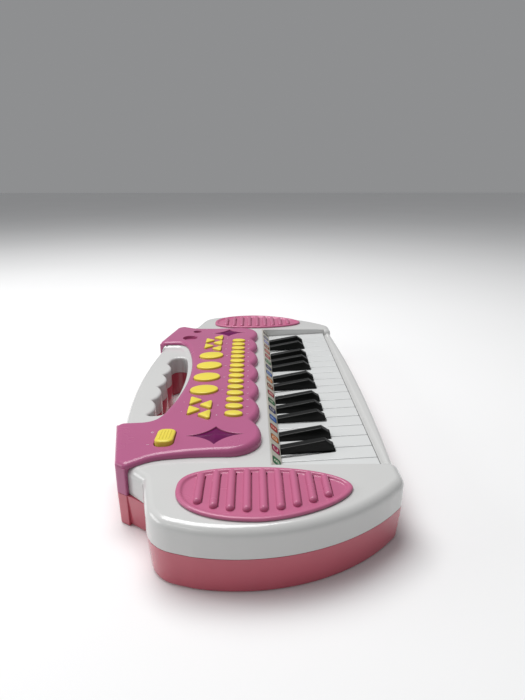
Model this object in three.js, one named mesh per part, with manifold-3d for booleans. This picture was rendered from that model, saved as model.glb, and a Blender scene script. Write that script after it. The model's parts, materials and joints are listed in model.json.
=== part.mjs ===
// Toy electronic keyboard: two-part case, raised control panel, 31 keys and sprung buttons.
// Millimetres, +Z up, +X toward the treble end, -Y toward the player, origin under the middle.
import * as THREE from 'three';
import { mergeVertices } from 'three/addons/utils/BufferGeometryUtils.js';
import Module from 'manifold-3d';

const wasm = await Module();
wasm.setup();

// ---- driving dimensions -------------------------------------------------------------------
const KEY_PITCH = 16.5;            // white key spacing
const WHITE_COUNT = 19;
const GAP = 0.3;                   // clearance between touching pieces
const WALL = 2.4;                  // moulded wall thickness
const PARTING_Z = 24.5;            // where the two case halves meet
const CASE_TOP = 43.7;
const HANDLE_TOP = 41.5;
const CASE_EDGE_R = 6;             // big rounded top edge of the upper case
const PANEL_TOP = 49.5;            // panel height above the gems
const PANEL_SLOPE = 0.036;         // the panel falls toward the rear
const PANEL_SLOPE_Y = 27;
const PANEL_FOOT = CASE_TOP + GAP;
const PANEL_WALL = 2.2;
const LEG_DEPTH = 9;               // how far the wing legs reach over the case edge

// ---- plan layout ---------------------------------------------------------------------------
const FRONT_Y = -102.5;            // middle of the bowed front rim
const FRONT_BOW = 4.5;
const RIM_HALF = 154;              // half length of the front rim
const RIM_TOP = 39.5;
const WELL_FRONT_Y = -91.2;
const RIM_SLOPE = { y: -95.2, drop: 2.7 };   // the rim top falls to the key slot
const WELL_REAR_Y = -22.8;
const WELL_HALF = WHITE_COUNT * KEY_PITCH / 2 + 0.5;
const STRIP_REAR_Y = -15.3;        // top of the sloping note strip
const SLOPE_FOOT_Z = 36.5;
const END_ARC = { x: 90.5, y: 3.7, r: 133.7, from: -44, to: 12 };
const LOBE = { startX: 153, frontY: -99.8, startR: 7, cornerX: 175.6, cornerR: 14,
  rearX: 213.6, rearY: 56.6, rearR: 26, neckX: 171, neckY: 66.8, neckR: 3 };
const HANDLE_REAR_Y = 102.5;
const HANDLE_HALF = 98;
const HANDLE_BOW = 7;
const SCALLOP_PITCH = 40.6;
const SCALLOP_Y = -3.1;            // notches between the panel scallops
const SCALLOP_RISE = 6;
const SCALLOP_COUNT = 5;
const PANEL_LOBE = { frontX: 123, frontY: -9.8, rise: 1.7, sideX: 147.2, r: 23, bendY: 40, bendR: 150,
  rearX: 151.4, rearY: 64, rearR: 30 };
const WING = { sideX: 162.2, sideY: 79.6, sideR: 5, cornerX: 157.4, cornerY: 86.9, cornerR: 4.5,
  innerY: 99.9, innerR: 5.6, proud: 0.2 };
const RECESS = { halfX: 98.5, shoulderY: 72.4, shoulderR: 13, neckX: 84, neckY: 66.2,
  bowX: 88, bowY: 67.5, bow: 12.5, land: 2.6 };
const HOLE = { x0: -66, x1: 56, frontY: 60, bend: 1 / 700, gripPitch: 30, grooveY: 83, gripRise: 5.5 };
const SKY = 60;                    // above every piece, for cutters that open upward

// ---- keys ------------------------------------------------------------------------------------
const KEY_FRONT_Y = -90;
const KEY_FRONT_Z = 39;
const KEY_SLOPE = 0.055;           // white key tops fall gently toward the rear
const KEY_GAP = 0.6;
const WHITE_KEY = { skirtZ: 28.6, skirtRearY: -65, deck: 4.6, edge: 0.9, wall: 1.6 };
const PIVOT = { y: 14, z: 30 };
const ROD_R = 1.5;
const BLACK_FRONT_Y = -61.7;
const BLACK_WIDTH = 8.4;
const BLACK_CLEARANCE = 0.5;
const BLACK_KEY = { foot: 33, rearTop: 39.2, crest: [-55, 45.4], ramp: [-60.3, 41.7], frontTop: 40.8,
  leanDeg: 5, armHalf: 3.3 };

// ---- small geometry helpers --------------------------------------------------------------------
const mirrorX = (points) => points.slice().reverse().map(([x, y]) => [-x, y]);

// Replace corner [x, y, radius] entries with arcs; entries without a radius stay as they are.
function filleted(corners, stepDeg = 22) {
  const out = [];
  corners.forEach(([x, y, r = 0], i) => {
    const before = corners[(i + corners.length - 1) % corners.length];
    const after = corners[(i + 1) % corners.length];
    if (!r) {
      out.push([x, y]);
      return;
    }
    const a = new THREE.Vector2(before[0] - x, before[1] - y).normalize();
    const b = new THREE.Vector2(after[0] - x, after[1] - y).normalize();
    const half = Math.acos(THREE.MathUtils.clamp(a.dot(b), -1, 1)) / 2;
    const middle = a.clone().add(b).normalize();
    const centre = new THREE.Vector2(x, y).addScaledVector(middle, r / Math.sin(half));
    const start = new THREE.Vector2(x, y).addScaledVector(a, r / Math.tan(half)).sub(centre);
    const end = new THREE.Vector2(x, y).addScaledVector(b, r / Math.tan(half)).sub(centre);
    const from = start.angle();
    const turn = THREE.MathUtils.euclideanModulo(end.angle() - from + Math.PI, 2 * Math.PI) - Math.PI;
    const steps = Math.max(2, Math.ceil(Math.abs(turn) * THREE.MathUtils.RAD2DEG / stepDeg));
    for (let k = 0; k <= steps; k += 1) {
      const angle = from + turn * k / steps;
      out.push([centre.x + r * Math.cos(angle), centre.y + r * Math.sin(angle)]);
    }
  });
  return out;
}

// Points on a circular arc that bulges by `rise` from the chord between two points.
function bulge([x0, y0], [x1, y1], rise, steps) {
  const chord = Math.hypot(x1 - x0, y1 - y0);
  const radius = (chord * chord / 4 + rise * rise) / (2 * Math.abs(rise));
  const sweep = 2 * Math.asin(Math.min(1, chord / 2 / radius));
  const ux = (x1 - x0) / chord;
  const uy = (y1 - y0) / chord;
  const side = Math.sign(rise);
  const points = [];
  for (let k = 1; k < steps; k += 1) {
    const angle = sweep * (k / steps - 0.5);
    const along = chord / 2 + radius * Math.sin(angle);
    const out = side * (radius * Math.cos(angle) - (radius - Math.abs(rise)));
    points.push([x0 + ux * along + uy * out, y0 + uy * along - ux * out]);
  }
  return points;
}

// Move an anticlockwise outline inward by d (outward when d is negative).
function inset(points, d) {
  if (!d) return points;
  return points.map(([x, y], i) => {
    const [px, py] = points[(i + points.length - 1) % points.length];
    const [nx, ny] = points[(i + 1) % points.length];
    const a = new THREE.Vector2(py - y, x - px).normalize();
    const b = new THREE.Vector2(y - ny, nx - x).normalize();
    const scale = d / (1 + a.dot(b));
    return [x + (a.x + b.x) * scale, y + (a.y + b.y) * scale];
  });
}

function toSolid(geometry) {
  const bare = new THREE.BufferGeometry();
  bare.setAttribute('position', geometry.getAttribute('position'));
  if (geometry.index) bare.setIndex(geometry.index);
  const merged = mergeVertices(bare, 1e-4);
  const corners = Array.from(merged.index.array);
  const triVerts = corners.filter((_, i) => {
    const [a, b, c] = corners.slice(i - i % 3, i - i % 3 + 3);
    return a !== b && b !== c && c !== a;
  });
  return new wasm.Manifold(new wasm.Mesh({
    numProp: 3,
    vertProperties: new Float32Array(merged.getAttribute('position').array),
    triVerts: new Uint32Array(triVerts),
  }));
}

function toGeometry(solid) {
  const mesh = solid.getMesh();
  const geometry = new THREE.BufferGeometry();
  geometry.setAttribute('position', new THREE.BufferAttribute(mesh.vertProperties, 3));
  geometry.setIndex(new THREE.BufferAttribute(mesh.triVerts, 1));
  geometry.computeVertexNormals();
  return geometry;
}

// Loft between insets of one outline: rings are [z, inset], lowest first; lift bends the heights.
function stack(points, rings, lift = () => 0) {
  const position = [];
  const index = [];
  const n = points.length;
  const loops = rings.map(([, d]) => inset(points, d));
  rings.forEach(([z], k) => {
    loops[k].forEach(([x, y]) => position.push(x, y, z + lift(x, y, z)));
  });
  for (let k = 0; k + 1 < rings.length; k += 1) {
    for (let i = 0; i < n; i += 1) {
      const j = (i + 1) % n;
      index.push(k * n + i, k * n + j, (k + 1) * n + j);
      index.push(k * n + i, (k + 1) * n + j, (k + 1) * n + i);
    }
  }
  const flat = points.map(([x, y]) => new THREE.Vector2(x, y));
  const top = (rings.length - 1) * n;
  THREE.ShapeUtils.triangulateShape(flat, []).forEach(([a, b, c]) => {
    index.push(a, c, b);
    index.push(top + a, top + b, top + c);
  });
  const geometry = new THREE.BufferGeometry();
  geometry.setAttribute('position', new THREE.Float32BufferAttribute(position, 3));
  geometry.setIndex(index);
  return toSolid(geometry);
}

const prism = (points, z0, z1) => stack(points, [[z0, 0], [z1, 0]]);

function box(x0, x1, y0, y1, z0, z1) {
  const geometry = new THREE.BoxGeometry(x1 - x0, y1 - y0, z1 - z0);
  geometry.translate((x0 + x1) / 2, (y0 + y1) / 2, (z0 + z1) / 2);
  return toSolid(geometry);
}

function cylinder(x, y, r, z0, z1, sides = 24, topR = r) {
  const geometry = new THREE.CylinderGeometry(topR, r, z1 - z0, sides);
  geometry.rotateX(Math.PI / 2);
  geometry.translate(x, y, (z0 + z1) / 2);
  return toSolid(geometry);
}

function rodAlongX(x0, x1, y, z, r, sides = 12) {
  const geometry = new THREE.CylinderGeometry(r, r, x1 - x0, sides);
  geometry.rotateZ(Math.PI / 2);
  geometry.translate((x0 + x1) / 2, y, z);
  return toSolid(geometry);
}

// Extrude a side profile of [y, z] points between two x positions.
function sideProfile(profile, x0, x1) {
  const shape = new THREE.Shape(profile.map(([y, z]) => new THREE.Vector2(y, z)));
  const geometry = new THREE.ExtrudeGeometry(shape, { depth: x1 - x0, bevelEnabled: false });
  geometry.applyMatrix4(new THREE.Matrix4().makeBasis(
    new THREE.Vector3(0, 1, 0), new THREE.Vector3(0, 0, 1), new THREE.Vector3(1, 0, 0)));
  geometry.translate(x0, 0, 0);
  return toSolid(geometry);
}

const rounding = (top, r, base, steps = 3) => {
  const rings = [[base, 0]];
  for (let k = 0; k <= steps; k += 1) {
    const angle = Math.PI / 2 * k / steps;
    rings.push([top - r + r * Math.sin(angle), r - r * Math.cos(angle)]);
  }
  return rings;
};

const ellipse = (cx, cy, rx, ry, steps) => Array.from({ length: steps }, (_, k) => {
  const angle = 2 * Math.PI * k / steps;
  return [cx + rx * Math.cos(angle), cy + ry * Math.sin(angle)];
});

// Turn an outline about the origin, anticlockwise from above.
function turned(points, degrees) {
  const middle = new THREE.Vector2();
  return points.map(([x, y]) => (
    new THREE.Vector2(x, y).rotateAround(middle, THREE.MathUtils.degToRad(degrees)).toArray()));
}

const roundedBox = (cx, cy, w, d, r, stepDeg = 22.5) => filleted([
  [cx - w / 2, cy - d / 2, r], [cx + w / 2, cy - d / 2, r],
  [cx + w / 2, cy + d / 2, r], [cx - w / 2, cy + d / 2, r]], stepDeg);

const union = (parts) => wasm.Manifold.union(parts);
const panelTopAt = (y) => PANEL_TOP - PANEL_SLOPE * (y - PANEL_SLOPE_Y);
const panelLift = (x, y) => -PANEL_SLOPE * (y - PANEL_SLOPE_Y);
// The same slope, shared out over the height of the side wall so that its foot stays level.
const panelWallLift = (x, y, z) => panelLift(x, y) * (z - PANEL_FOOT) / (PANEL_TOP - PANEL_FOOT);

// ---- outlines --------------------------------------------------------------------------------
const POST = {
  side: [WING.sideX + WING.proud, WING.sideY + WING.proud],
  corner: [WING.cornerX + WING.proud, WING.cornerY + WING.proud],
  inner: [RECESS.halfX + 0.7, WING.innerY],
};

function endArc() {
  const steps = 7;
  return Array.from({ length: steps + 1 }, (_, k) => {
    const angle = THREE.MathUtils.degToRad(END_ARC.from + (END_ARC.to - END_ARC.from) * k / steps);
    return [END_ARC.x + END_ARC.r * Math.cos(angle), END_ARC.y + END_ARC.r * Math.sin(angle)];
  });
}

function handleArc() {
  const steps = 5;
  return Array.from({ length: steps + 1 }, (_, k) => {
    const x = HANDLE_HALF * (1 - k / steps);
    return [x, HANDLE_REAR_Y - HANDLE_BOW * (x / HANDLE_HALF) ** 2];
  });
}

// Outline of the case without its front rim and handle, which are added to it.
function bodyOutline(rear) {
  const right = filleted([
    [0, WELL_FRONT_Y + 1.5],
    [LOBE.startX, WELL_FRONT_Y + 1.5],
    [LOBE.startX, LOBE.frontY, LOBE.startR],
    [LOBE.cornerX, LOBE.frontY, LOBE.cornerR],
    ...endArc(),
    [LOBE.rearX, LOBE.rearY, LOBE.rearR],
    [LOBE.neckX, LOBE.neckY, LOBE.neckR],
    ...rear,
  ]);
  return [...right, ...mirrorX(right).slice(1, -1)];
}

const lowerBody = bodyOutline([[157, 86.4, 5], [100.6, 99, 5], [99, 92], [0, 92]]);
const upperBody = bodyOutline([[154.6, 84.2, 7], [100, 96.6], [0, 96.6]]);

// Band behind the bowed front edge, reaching back to innerY and out to `half` on each side.
function rimOutline(innerY, half) {
  const steps = 4;
  const arc = Array.from({ length: steps + 1 }, (_, k) => {
    const x = half * k / steps;
    return [x, FRONT_Y + FRONT_BOW * (x / RIM_HALF) ** 2];
  });
  return [...arc, [half, innerY], ...mirrorX([...arc, [half, innerY]]).slice(0, -1)];
}

function handleOutline() {
  const arc = handleArc();
  const right = [[108, 44], [108, 91], [HANDLE_HALF + 4, 93.4], ...arc];
  return [...right, ...mirrorX(right).slice(1)];
}

const handlePlan = handleOutline();

// Band down the rear of each wing, from the end face round the corner to the handle.
function postOutline(thick) {
  const normal = ([ax, ay], [bx, by]) => new THREE.Vector2(by - ay, ax - bx).normalize();
  const a = normal(POST.side, POST.corner);
  const b = normal(POST.corner, POST.inner);
  const miter = a.clone().add(b).multiplyScalar(thick / (1 + a.dot(b)));
  const back = ([x, y], by) => [x - by.x, y - by.y];
  return filleted([[...POST.side, 0.8], [...POST.corner, WING.cornerR], [...POST.inner, 1.2],
    back(POST.inner, b.clone().multiplyScalar(thick)), [...back(POST.corner, miter), 1],
    back(POST.side, a.clone().multiplyScalar(thick))]);
}

// Arc of the recess in front of the handle, from +X to -X.
const recessBow = () => bulge([RECESS.bowX, RECESS.bowY], [-RECESS.bowX, RECESS.bowY], -RECESS.bow, 12)
  .filter(([x]) => Math.abs(x) < RECESS.neckX);

// Scalloped front edge, a round lobe at each end, and two wings that reach back past the handle.
function panelOutline() {
  const scallop = (k) => [[(k - 0.5) * SCALLOP_PITCH, SCALLOP_Y], [(k + 0.5) * SCALLOP_PITCH, SCALLOP_Y]];
  const front = bulge(...scallop(0), SCALLOP_RISE, 6).slice(2);
  for (let k = 1; k <= (SCALLOP_COUNT - 1) / 2; k += 1) {
    const [start, end] = scallop(k);
    front.push(start, ...bulge(start, end, SCALLOP_RISE, 6));
  }
  const notch = [SCALLOP_COUNT / 2 * SCALLOP_PITCH, SCALLOP_Y];
  const lobeFront = [PANEL_LOBE.frontX, PANEL_LOBE.frontY];
  const side = filleted([
    lobeFront,
    [PANEL_LOBE.sideX, PANEL_LOBE.frontY, PANEL_LOBE.r],
    [PANEL_LOBE.sideX, PANEL_LOBE.bendY, PANEL_LOBE.bendR],
    [PANEL_LOBE.rearX, PANEL_LOBE.rearY, PANEL_LOBE.rearR],
    [WING.sideX, WING.sideY, WING.sideR],
    [WING.cornerX, WING.cornerY, WING.cornerR],
    [RECESS.halfX, WING.innerY, WING.innerR],
    [RECESS.halfX, RECESS.shoulderY, RECESS.shoulderR],
    [RECESS.neckX, RECESS.neckY],
  ]).slice(0, -1);
  const half = [...front, notch, ...bulge(notch, lobeFront, PANEL_LOBE.rise, 4), ...side,
    ...recessBow().filter(([x]) => x > -1)];
  return [...half, ...mirrorX(half).slice(1, -1)];
}

const panelPlan = panelOutline();

// Egg-shaped grille: the reach of each quarter from one centre, and the ribs across it.
const GRILLE = { x: 186, y: -6.5, outer: 31.4, inner: 23, rear: 49.9, front: 57.7, foot: PANEL_FOOT,
  plate: 44.6, rim: 46.1, ribZ: 45.1, lap: 4, ribs: 9, ribPitch: 9.66, ribR: 2.4, ribMiddleY: -9.4,
  innerMargin: 3.3, outerMargin: 7.8 };
// Roundness of each quarter, where 2 is an ellipse: outer rear, inner rear, inner front, outer front.
const GRILLE_POWERS = [2.2, 2.85, 1.9, 1.6];

function grilleOutline(side, shrink = 0) {
  const reachX = [GRILLE.outer, GRILLE.inner, GRILLE.inner, GRILLE.outer];
  const reachY = [GRILLE.rear, GRILLE.rear, GRILLE.front, GRILLE.front];
  const steps = 9;
  const points = Array.from({ length: 4 * steps }, (_, k) => {
    const quarter = Math.floor(k / steps);
    const angle = Math.PI / 2 * k / steps;
    const along = (wave, reach) => (
      Math.sign(wave) * Math.abs(wave) ** (2 / GRILLE_POWERS[quarter]) * (reach - shrink));
    return [GRILLE.x + along(Math.cos(angle), reachX[quarter]),
      GRILLE.y + along(Math.sin(angle), reachY[quarter])];
  });
  return side > 0 ? points : mirrorX(points);
}

// Lowest and highest x of an outline at one y.
function chordAt(points, y) {
  const xs = points.flatMap(([x, py], i) => {
    const [nx, ny] = points[(i + 1) % points.length];
    return (py - y) * (ny - y) < 0 ? [x + (nx - x) * (y - py) / (ny - py)] : [];
  });
  return [Math.min(...xs), Math.max(...xs)];
}

// Through hole of the handle: a gently curved front edge and rounded finger grips along the rear.
function holeOutline() {
  const steps = 8;
  const front = Array.from({ length: steps + 1 }, (_, k) => {
    const x = HOLE.x0 + (HOLE.x1 - HOLE.x0) * k / steps;
    return [x, HOLE.frontY + HOLE.bend * x * x];
  });
  const grips = [1.5, 0.5, -0.5, -1.5].flatMap((k) => {
    const from = [k * HOLE.gripPitch, HOLE.grooveY];
    const to = [(k - 1) * HOLE.gripPitch, HOLE.grooveY];
    return [from, ...bulge(to, from, HOLE.gripRise, 5).reverse()];
  });
  const trebleEnd = [[64, 67, 6], [62, 80, 8]];
  const bassEnd = [[-76.5, 80, 4], [-75.5, 69.5, 7]];
  return filleted([...front, ...trebleEnd, ...grips, ...bassEnd]);
}

const handleHole = holeOutline();

function starOutline(cx, cy, halfX, halfY, steps = 4) {
  const points = [];
  for (let q = 0; q < 4; q += 1) {
    const tip = [[halfX, 0], [0, halfY], [-halfX, 0], [0, -halfY]];
    const from = tip[q];
    const to = tip[(q + 1) % 4];
    points.push(from, ...bulge(from, to, -GEM.bow, steps));
  }
  return points.map(([x, y]) => [cx + x, cy + y]);
}

function anticlockwise(points) {
  const area = THREE.ShapeUtils.area(points.map(([x, y]) => new THREE.Vector2(x, y)));
  return area < 0 ? points.slice().reverse() : points;
}

const triangle = (cx, cy, dir) => anticlockwise(filleted([
  [cx - TRIANGLE.half, cy - dir * TRIANGLE.back, TRIANGLE.r],
  [cx + TRIANGLE.half, cy - dir * TRIANGLE.back, TRIANGLE.r],
  [cx, cy + dir * TRIANGLE.reach, TRIANGLE.r]], 40));

// ---- buttons --------------------------------------------------------------------------------
const BUTTON_TRAVEL = 1.5;
const BUTTON_RISE = 2.4;
const BUTTON_CLEAR = 0.35;
const TONE = { count: 15, middleX: -1.3, pitch: 13.2, y: 11.3, rx: 4.3, ry: 7.1, leanDeg: 13 };
const MODE = { x: [-44.4, -14.8, 14.8, 44.4], y: 38.1, rx: 9.1, ry: 12 };
const TRIANGLE = { half: 8.2, back: 3.9, reach: 6.2, r: 1.3 };
const DOWN_Y = 43.6;
const UP_Y = 33.2;
const TRIANGLES = {
  bass_down_button_pair: { x: [-84.6, -66.6], y: DOWN_Y, dir: -1 },
  bass_up_button_pair: { x: [-93.6, -75.6], y: UP_Y, dir: 1 },
  treble_down_button_pair: { x: [75.6, 94.6], y: DOWN_Y, dir: -1 },
  treble_up_button_trio: { x: [66.2, 85.4, 104.6], y: UP_Y, dir: 1 },
};
const SWITCH = { x: -127.3, y: 58.5, w: 23.4, d: 13, r: 5, tilt: 5, pivotZ: 44 };
const GEM = { x: 125.6, y: 23.4, halfX: 12.9, halfY: 20.7, seatZ: 44.4, bow: 3.2 };
const SOCKETS = [{ x: 112, y: 67.2, r: 8 }, { x: 135.5, y: 61, r: 4.6 }];
const SOCKET_WALL = 1.8;
const SOCKET_FLOOR = 44.4;
const BOARD = { half: 128, y0: 3, y1: 50, z: 35.6, thick: 1.6 };
const SHEET = { half: 108, y0: 5, y1: 48, z: 37.5, thick: 0.8, domeR: 2, domeTop: 1.2 };
const SPEAKER = { x: 191, y: -11 };

const toneXs = Array.from({ length: TONE.count }, (_, k) => (
  TONE.middleX + (k - (TONE.count - 1) / 2) * TONE.pitch));
const toneShape = (x) => turned(ellipse(0, 0, TONE.rx, TONE.ry, 12), -TONE.leanDeg)
  .map(([px, py]) => [x + px, TONE.y + py]);
const modeShape = (x) => ellipse(x, MODE.y, MODE.rx, MODE.ry, 20);

// A cap with a softly rounded top standing BUTTON_RISE above the sloping panel.
function cap(points, y, bottom, rise = BUTTON_RISE, edge = 1) {
  const rings = [[bottom, 0], [PANEL_TOP + rise - edge, 0], [PANEL_TOP + rise, edge]];
  return stack(points, rings, (x, yy, z) => (z > bottom ? panelLift(x, y) : 0));
}

// One moulding per row: caps, a runner joining them under the panel, and short plungers.
function buttonMoulding(shapes, centres, y, halfRunner) {
  const under = panelTopAt(y + halfRunner) - PANEL_WALL - GAP;
  const runnerZ = under - 1.4;
  const xs = centres.map(([x]) => x);
  const ends = [Math.min(...xs) - halfRunner, Math.max(...xs) + halfRunner];
  const runner = box(ends[0], ends[1], y - halfRunner, y + halfRunner, runnerZ, under);
  const plungers = centres.map(([x]) => cylinder(x, y, 1.8, SHEET.z + SHEET.domeTop + GAP + BUTTON_TRAVEL,
    runnerZ + 0.4, 6));
  return union([runner, ...shapes.map((s) => cap(s, y, runnerZ + 0.2)), ...plungers]);
}

// ---- case halves -------------------------------------------------------------------------------
function handleWall(z0, z1) {
  return prism(inset(handleHole, -WALL), z0, z1);
}

const SCREW_BOSSES = [[165, 52], [178, -84], [92, 84]].flatMap(([x, y]) => [[-x, y], [x, y]]);
const BOSS = { r: 4.2, bore: 1.4, top: 22, upperR: 3.6 };

function screwBosses(z0, z1, r) {
  return SCREW_BOSSES.map(([x, y]) => cylinder(x, y, r, z0, z1, 16));
}

const BATTERY = { x0: -52, x1: 52, y0: -66, y1: -2, top: 19.5 };
const DOOR = { thick: 2, ledge: 3, screwY: BATTERY.y1 + 5.5, earR: 5.2, bore: 1.7 };

// Lower case skin: each outline drafted inward toward the floor.
function lowerSkin(extra, z0, top) {
  const soft = z0 < 1 ? [[z0, 3.6], [0.5, 2.6], [2, 1.9]] : [[z0, 1.8]];
  const front = rimOutline(WELL_FRONT_Y + 16, RIM_HALF + 3.5);
  return union([lowerBody, front, handlePlan].map((plan) => {
    const rings = soft.map(([z, d]) => [z, d + extra]);
    return stack(plan, [...rings, [top, extra]]);
  }));
}

function lowerCase() {
  const top = PARTING_Z - GAP / 2;
  const cavity = lowerSkin(WALL, WALL, top + 1);
  const post = stack(postOutline(5), [[0.4, 0.9], [top, 0]]);
  let shell = union([lowerSkin(0, 0, top), post, post.mirror([1, 0, 0])]).subtract(cavity);
  const { x0, x1, y0, y1, top: boxTop } = BATTERY;
  const bay = box(x0 - 2, x1 + 2, y0 - 2, y1 + 2, 1, boxTop + 2);
  shell = union([shell, handleWall(0.8, top), bay, ...screwBosses(1, BOSS.top, BOSS.r), ...rodPosts(),
    ...boardPillars()]);
  return shell.subtract(union([
    box(x0, x1, y0, y1, -1, boxTop),
    box(x0 - DOOR.ledge, x1 + DOOR.ledge, y0 - DOOR.ledge, y1 + DOOR.ledge, -1, DOOR.thick + GAP),
    prism(handleHole, -1, top + 1),
    cylinder(0, DOOR.screwY, DOOR.earR, -1, DOOR.thick + GAP, 20),
    cylinder(0, DOOR.screwY, DOOR.bore, -1, 9, 12),
    ...screwBosses(-1, BOSS.top + 1, BOSS.bore),
  ]));
}

// Saddles that carry the key hinge rod at both ends.
function rodPosts() {
  return [-1, 1].map((side) => {
    const x = side * (WELL_HALF + 3);
    const post = box(x - 2, x + 2, PIVOT.y - 4, PIVOT.y + 4, 1, PIVOT.z + 3.4);
    return post.subtract(rodAlongX(x - 5, x + 5, PIVOT.y, PIVOT.z, ROD_R + GAP));
  });
}

const CONTACT = { y0: -52, y1: -30, z: 23.4, half: 152 };

function boardPillars() {
  return [-140, -80, 80, 140].map((x) => box(x - 2, x + 2, CONTACT.y0 + 4, CONTACT.y1 - 4, 1,
    CONTACT.z - GAP));
}

function upperCase() {
  const base = PARTING_Z + GAP / 2;
  const open = base - 1;
  const main = stack(upperBody, rounding(CASE_TOP, CASE_EDGE_R, base))
    .subtract(prism(inset(recessOutline(), -RECESS.land), open, SKY));
  const rear = stack(handlePlan, rounding(HANDLE_TOP, CASE_EDGE_R, base));
  const rim = stack(rimOutline(WELL_FRONT_Y, RIM_HALF + 3.5), rounding(RIM_TOP, 2.2, base, 2));
  const rimTop = sideProfile([[RIM_SLOPE.y, RIM_TOP], [WELL_FRONT_Y, RIM_TOP - RIM_SLOPE.drop],
    [WELL_FRONT_Y + 1, RIM_TOP - RIM_SLOPE.drop], [WELL_FRONT_Y + 1, SKY], [RIM_SLOPE.y, SKY]],
  -WELL_HALF, WELL_HALF);
  const block = union([main, rear, rim]).subtract(rimTop);

  const roof = CASE_TOP - WALL;
  const bodyRoom = stack(inset(upperBody, WALL), [[open, 0], [roof - 4, 0.4], [roof, 4]]);
  const handleRoom = stack(inset(handlePlan, WALL), [[open, 0], [HANDLE_TOP - WALL - 3, 0.4],
    [HANDLE_TOP - WALL, 3]]);
  const room = union([
    bodyRoom.subtract(prism(inset(recessOutline(), -RECESS.land - WALL), open - 1, SKY)),
    handleRoom,
  ]).subtract(union([
    box(-WELL_HALF - WALL, WELL_HALF + WALL, -120, WELL_FRONT_Y + 0.1, open - 1, SKY),
    ...[-1, 1].map((side) => sideWall(side)),
    handleWall(open - 1, SKY),
    slopePlate(),
    ...screwBosses(BOSS.top + GAP, SKY, BOSS.upperR),
  ]));
  const rimRoom = prism(inset(rimOutline(WELL_FRONT_Y, 112), WALL - 0.2), open, RIM_TOP - WALL);
  const well = sideProfile([[WELL_FRONT_Y, open], [WELL_REAR_Y + 2.4, open],
    [WELL_REAR_Y + 2.4, SLOPE_FOOT_Z - 1], [WELL_REAR_Y, SLOPE_FOOT_Z], [STRIP_REAR_Y, CASE_TOP],
    [STRIP_REAR_Y + 3, CASE_TOP + 10], [WELL_FRONT_Y, CASE_TOP + 10]], -WELL_HALF, WELL_HALF);
  return block.subtract(union([
    room,
    rimRoom,
    well,
    prism(handleHole, open, SKY),
    box(-BOARD.half - 3, BOARD.half + 3, BOARD.y0 - 1, BOARD.y1 + 1, open, SKY),
    ...[-1, 1].map((side) => prism(grilleOutline(side, GRILLE.lap), open, SKY)),
    prism(roundedBox(SWITCH.x, SWITCH.y, SWITCH.w + 5, SWITCH.d + 5.6, 2), open, SKY),
    ...SOCKETS.map(({ x, y, r }) => cylinder(x, y, r + 2.6, open, SKY)),
  ]));
}

// End wall of the key well.
function sideWall(side) {
  const near = side * WELL_HALF;
  const far = side * (WELL_HALF + WALL);
  return box(Math.min(near, far), Math.max(near, far), FRONT_Y - 10, WELL_REAR_Y + 4, PIVOT.z, SKY);
}

// Sloping face behind the keys that carries the note strip.
function slopePlate() {
  return sideProfile([[WELL_REAR_Y, SLOPE_FOOT_Z], [STRIP_REAR_Y, CASE_TOP], [STRIP_REAR_Y + 3, CASE_TOP],
    [WELL_REAR_Y + 3.2, SLOPE_FOOT_Z - 0.2]], -WELL_HALF - 1, WELL_HALF + 1);
}

// The open area behind the panel where the handle is.
function recessOutline() {
  const beyond = HANDLE_REAR_Y + 17.5;
  return filleted([
    [-RECESS.neckX, RECESS.neckY],
    ...recessBow().reverse(),
    [RECESS.neckX, RECESS.neckY],
    [RECESS.halfX, RECESS.shoulderY, RECESS.shoulderR],
    [RECESS.halfX, beyond],
    [-RECESS.halfX, beyond],
    [-RECESS.halfX, RECESS.shoulderY, RECESS.shoulderR],
  ]);
}

// ---- control panel --------------------------------------------------------------------------------
function controlPanel() {
  const rings = [[PANEL_FOOT, 0], [PANEL_TOP - 4, 0.2], [PANEL_TOP - 1.5, 1.6], [PANEL_TOP, 4.4]];
  // The inset stays below the corner radius of the wings, or the outline would cross itself there.
  const roofInset = WING.cornerR - PANEL_WALL - GAP;
  const hollow = stack(inset(panelPlan, PANEL_WALL), [[PANEL_FOOT - 3, 0], [PANEL_TOP - PANEL_WALL - 2, 0.4],
    [PANEL_TOP - PANEL_WALL, roofInset]], (x, y, z) => (z > PANEL_FOOT ? panelLift(x, y) : 0));
  const shell = stack(panelPlan, rings, panelWallLift).subtract(hollow);
  const cups = SOCKETS.map(({ x, y, r }) => cylinder(x, y, r + SOCKET_WALL, SOCKET_FLOOR - 3.4,
    SOCKET_FLOOR + 1.6));
  const opening = (outline) => prism(outline, HANDLE_TOP - 1.5, SKY);
  const buttonOpening = (outline) => opening(inset(outline, -BUTTON_CLEAR));
  const windows = [
    ...toneXs.map((x) => buttonOpening(toneShape(x))),
    ...MODE.x.map((x) => buttonOpening(modeShape(x))),
    ...Object.values(TRIANGLES).flatMap(({ x, y, dir }) => (
      x.map((cx) => buttonOpening(triangle(cx, y, dir))))),
    opening(roundedBox(SWITCH.x, SWITCH.y, SWITCH.w + 1.6, SWITCH.d + 0.9, SWITCH.r + 0.4)),
    ...[-1, 1].map((side) => (
      opening(starOutline(side * GEM.x, GEM.y, GEM.halfX + GAP, GEM.halfY + 0.4)))),
  ];
  const panel = union([shell, ...rearSkirts(), ...cups]);
  const pockets = SOCKETS.map(({ x, y, r }) => cylinder(x, y, r, SOCKET_FLOOR, SKY));
  return panel.subtract(union([...windows, ...pockets]));
}

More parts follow.
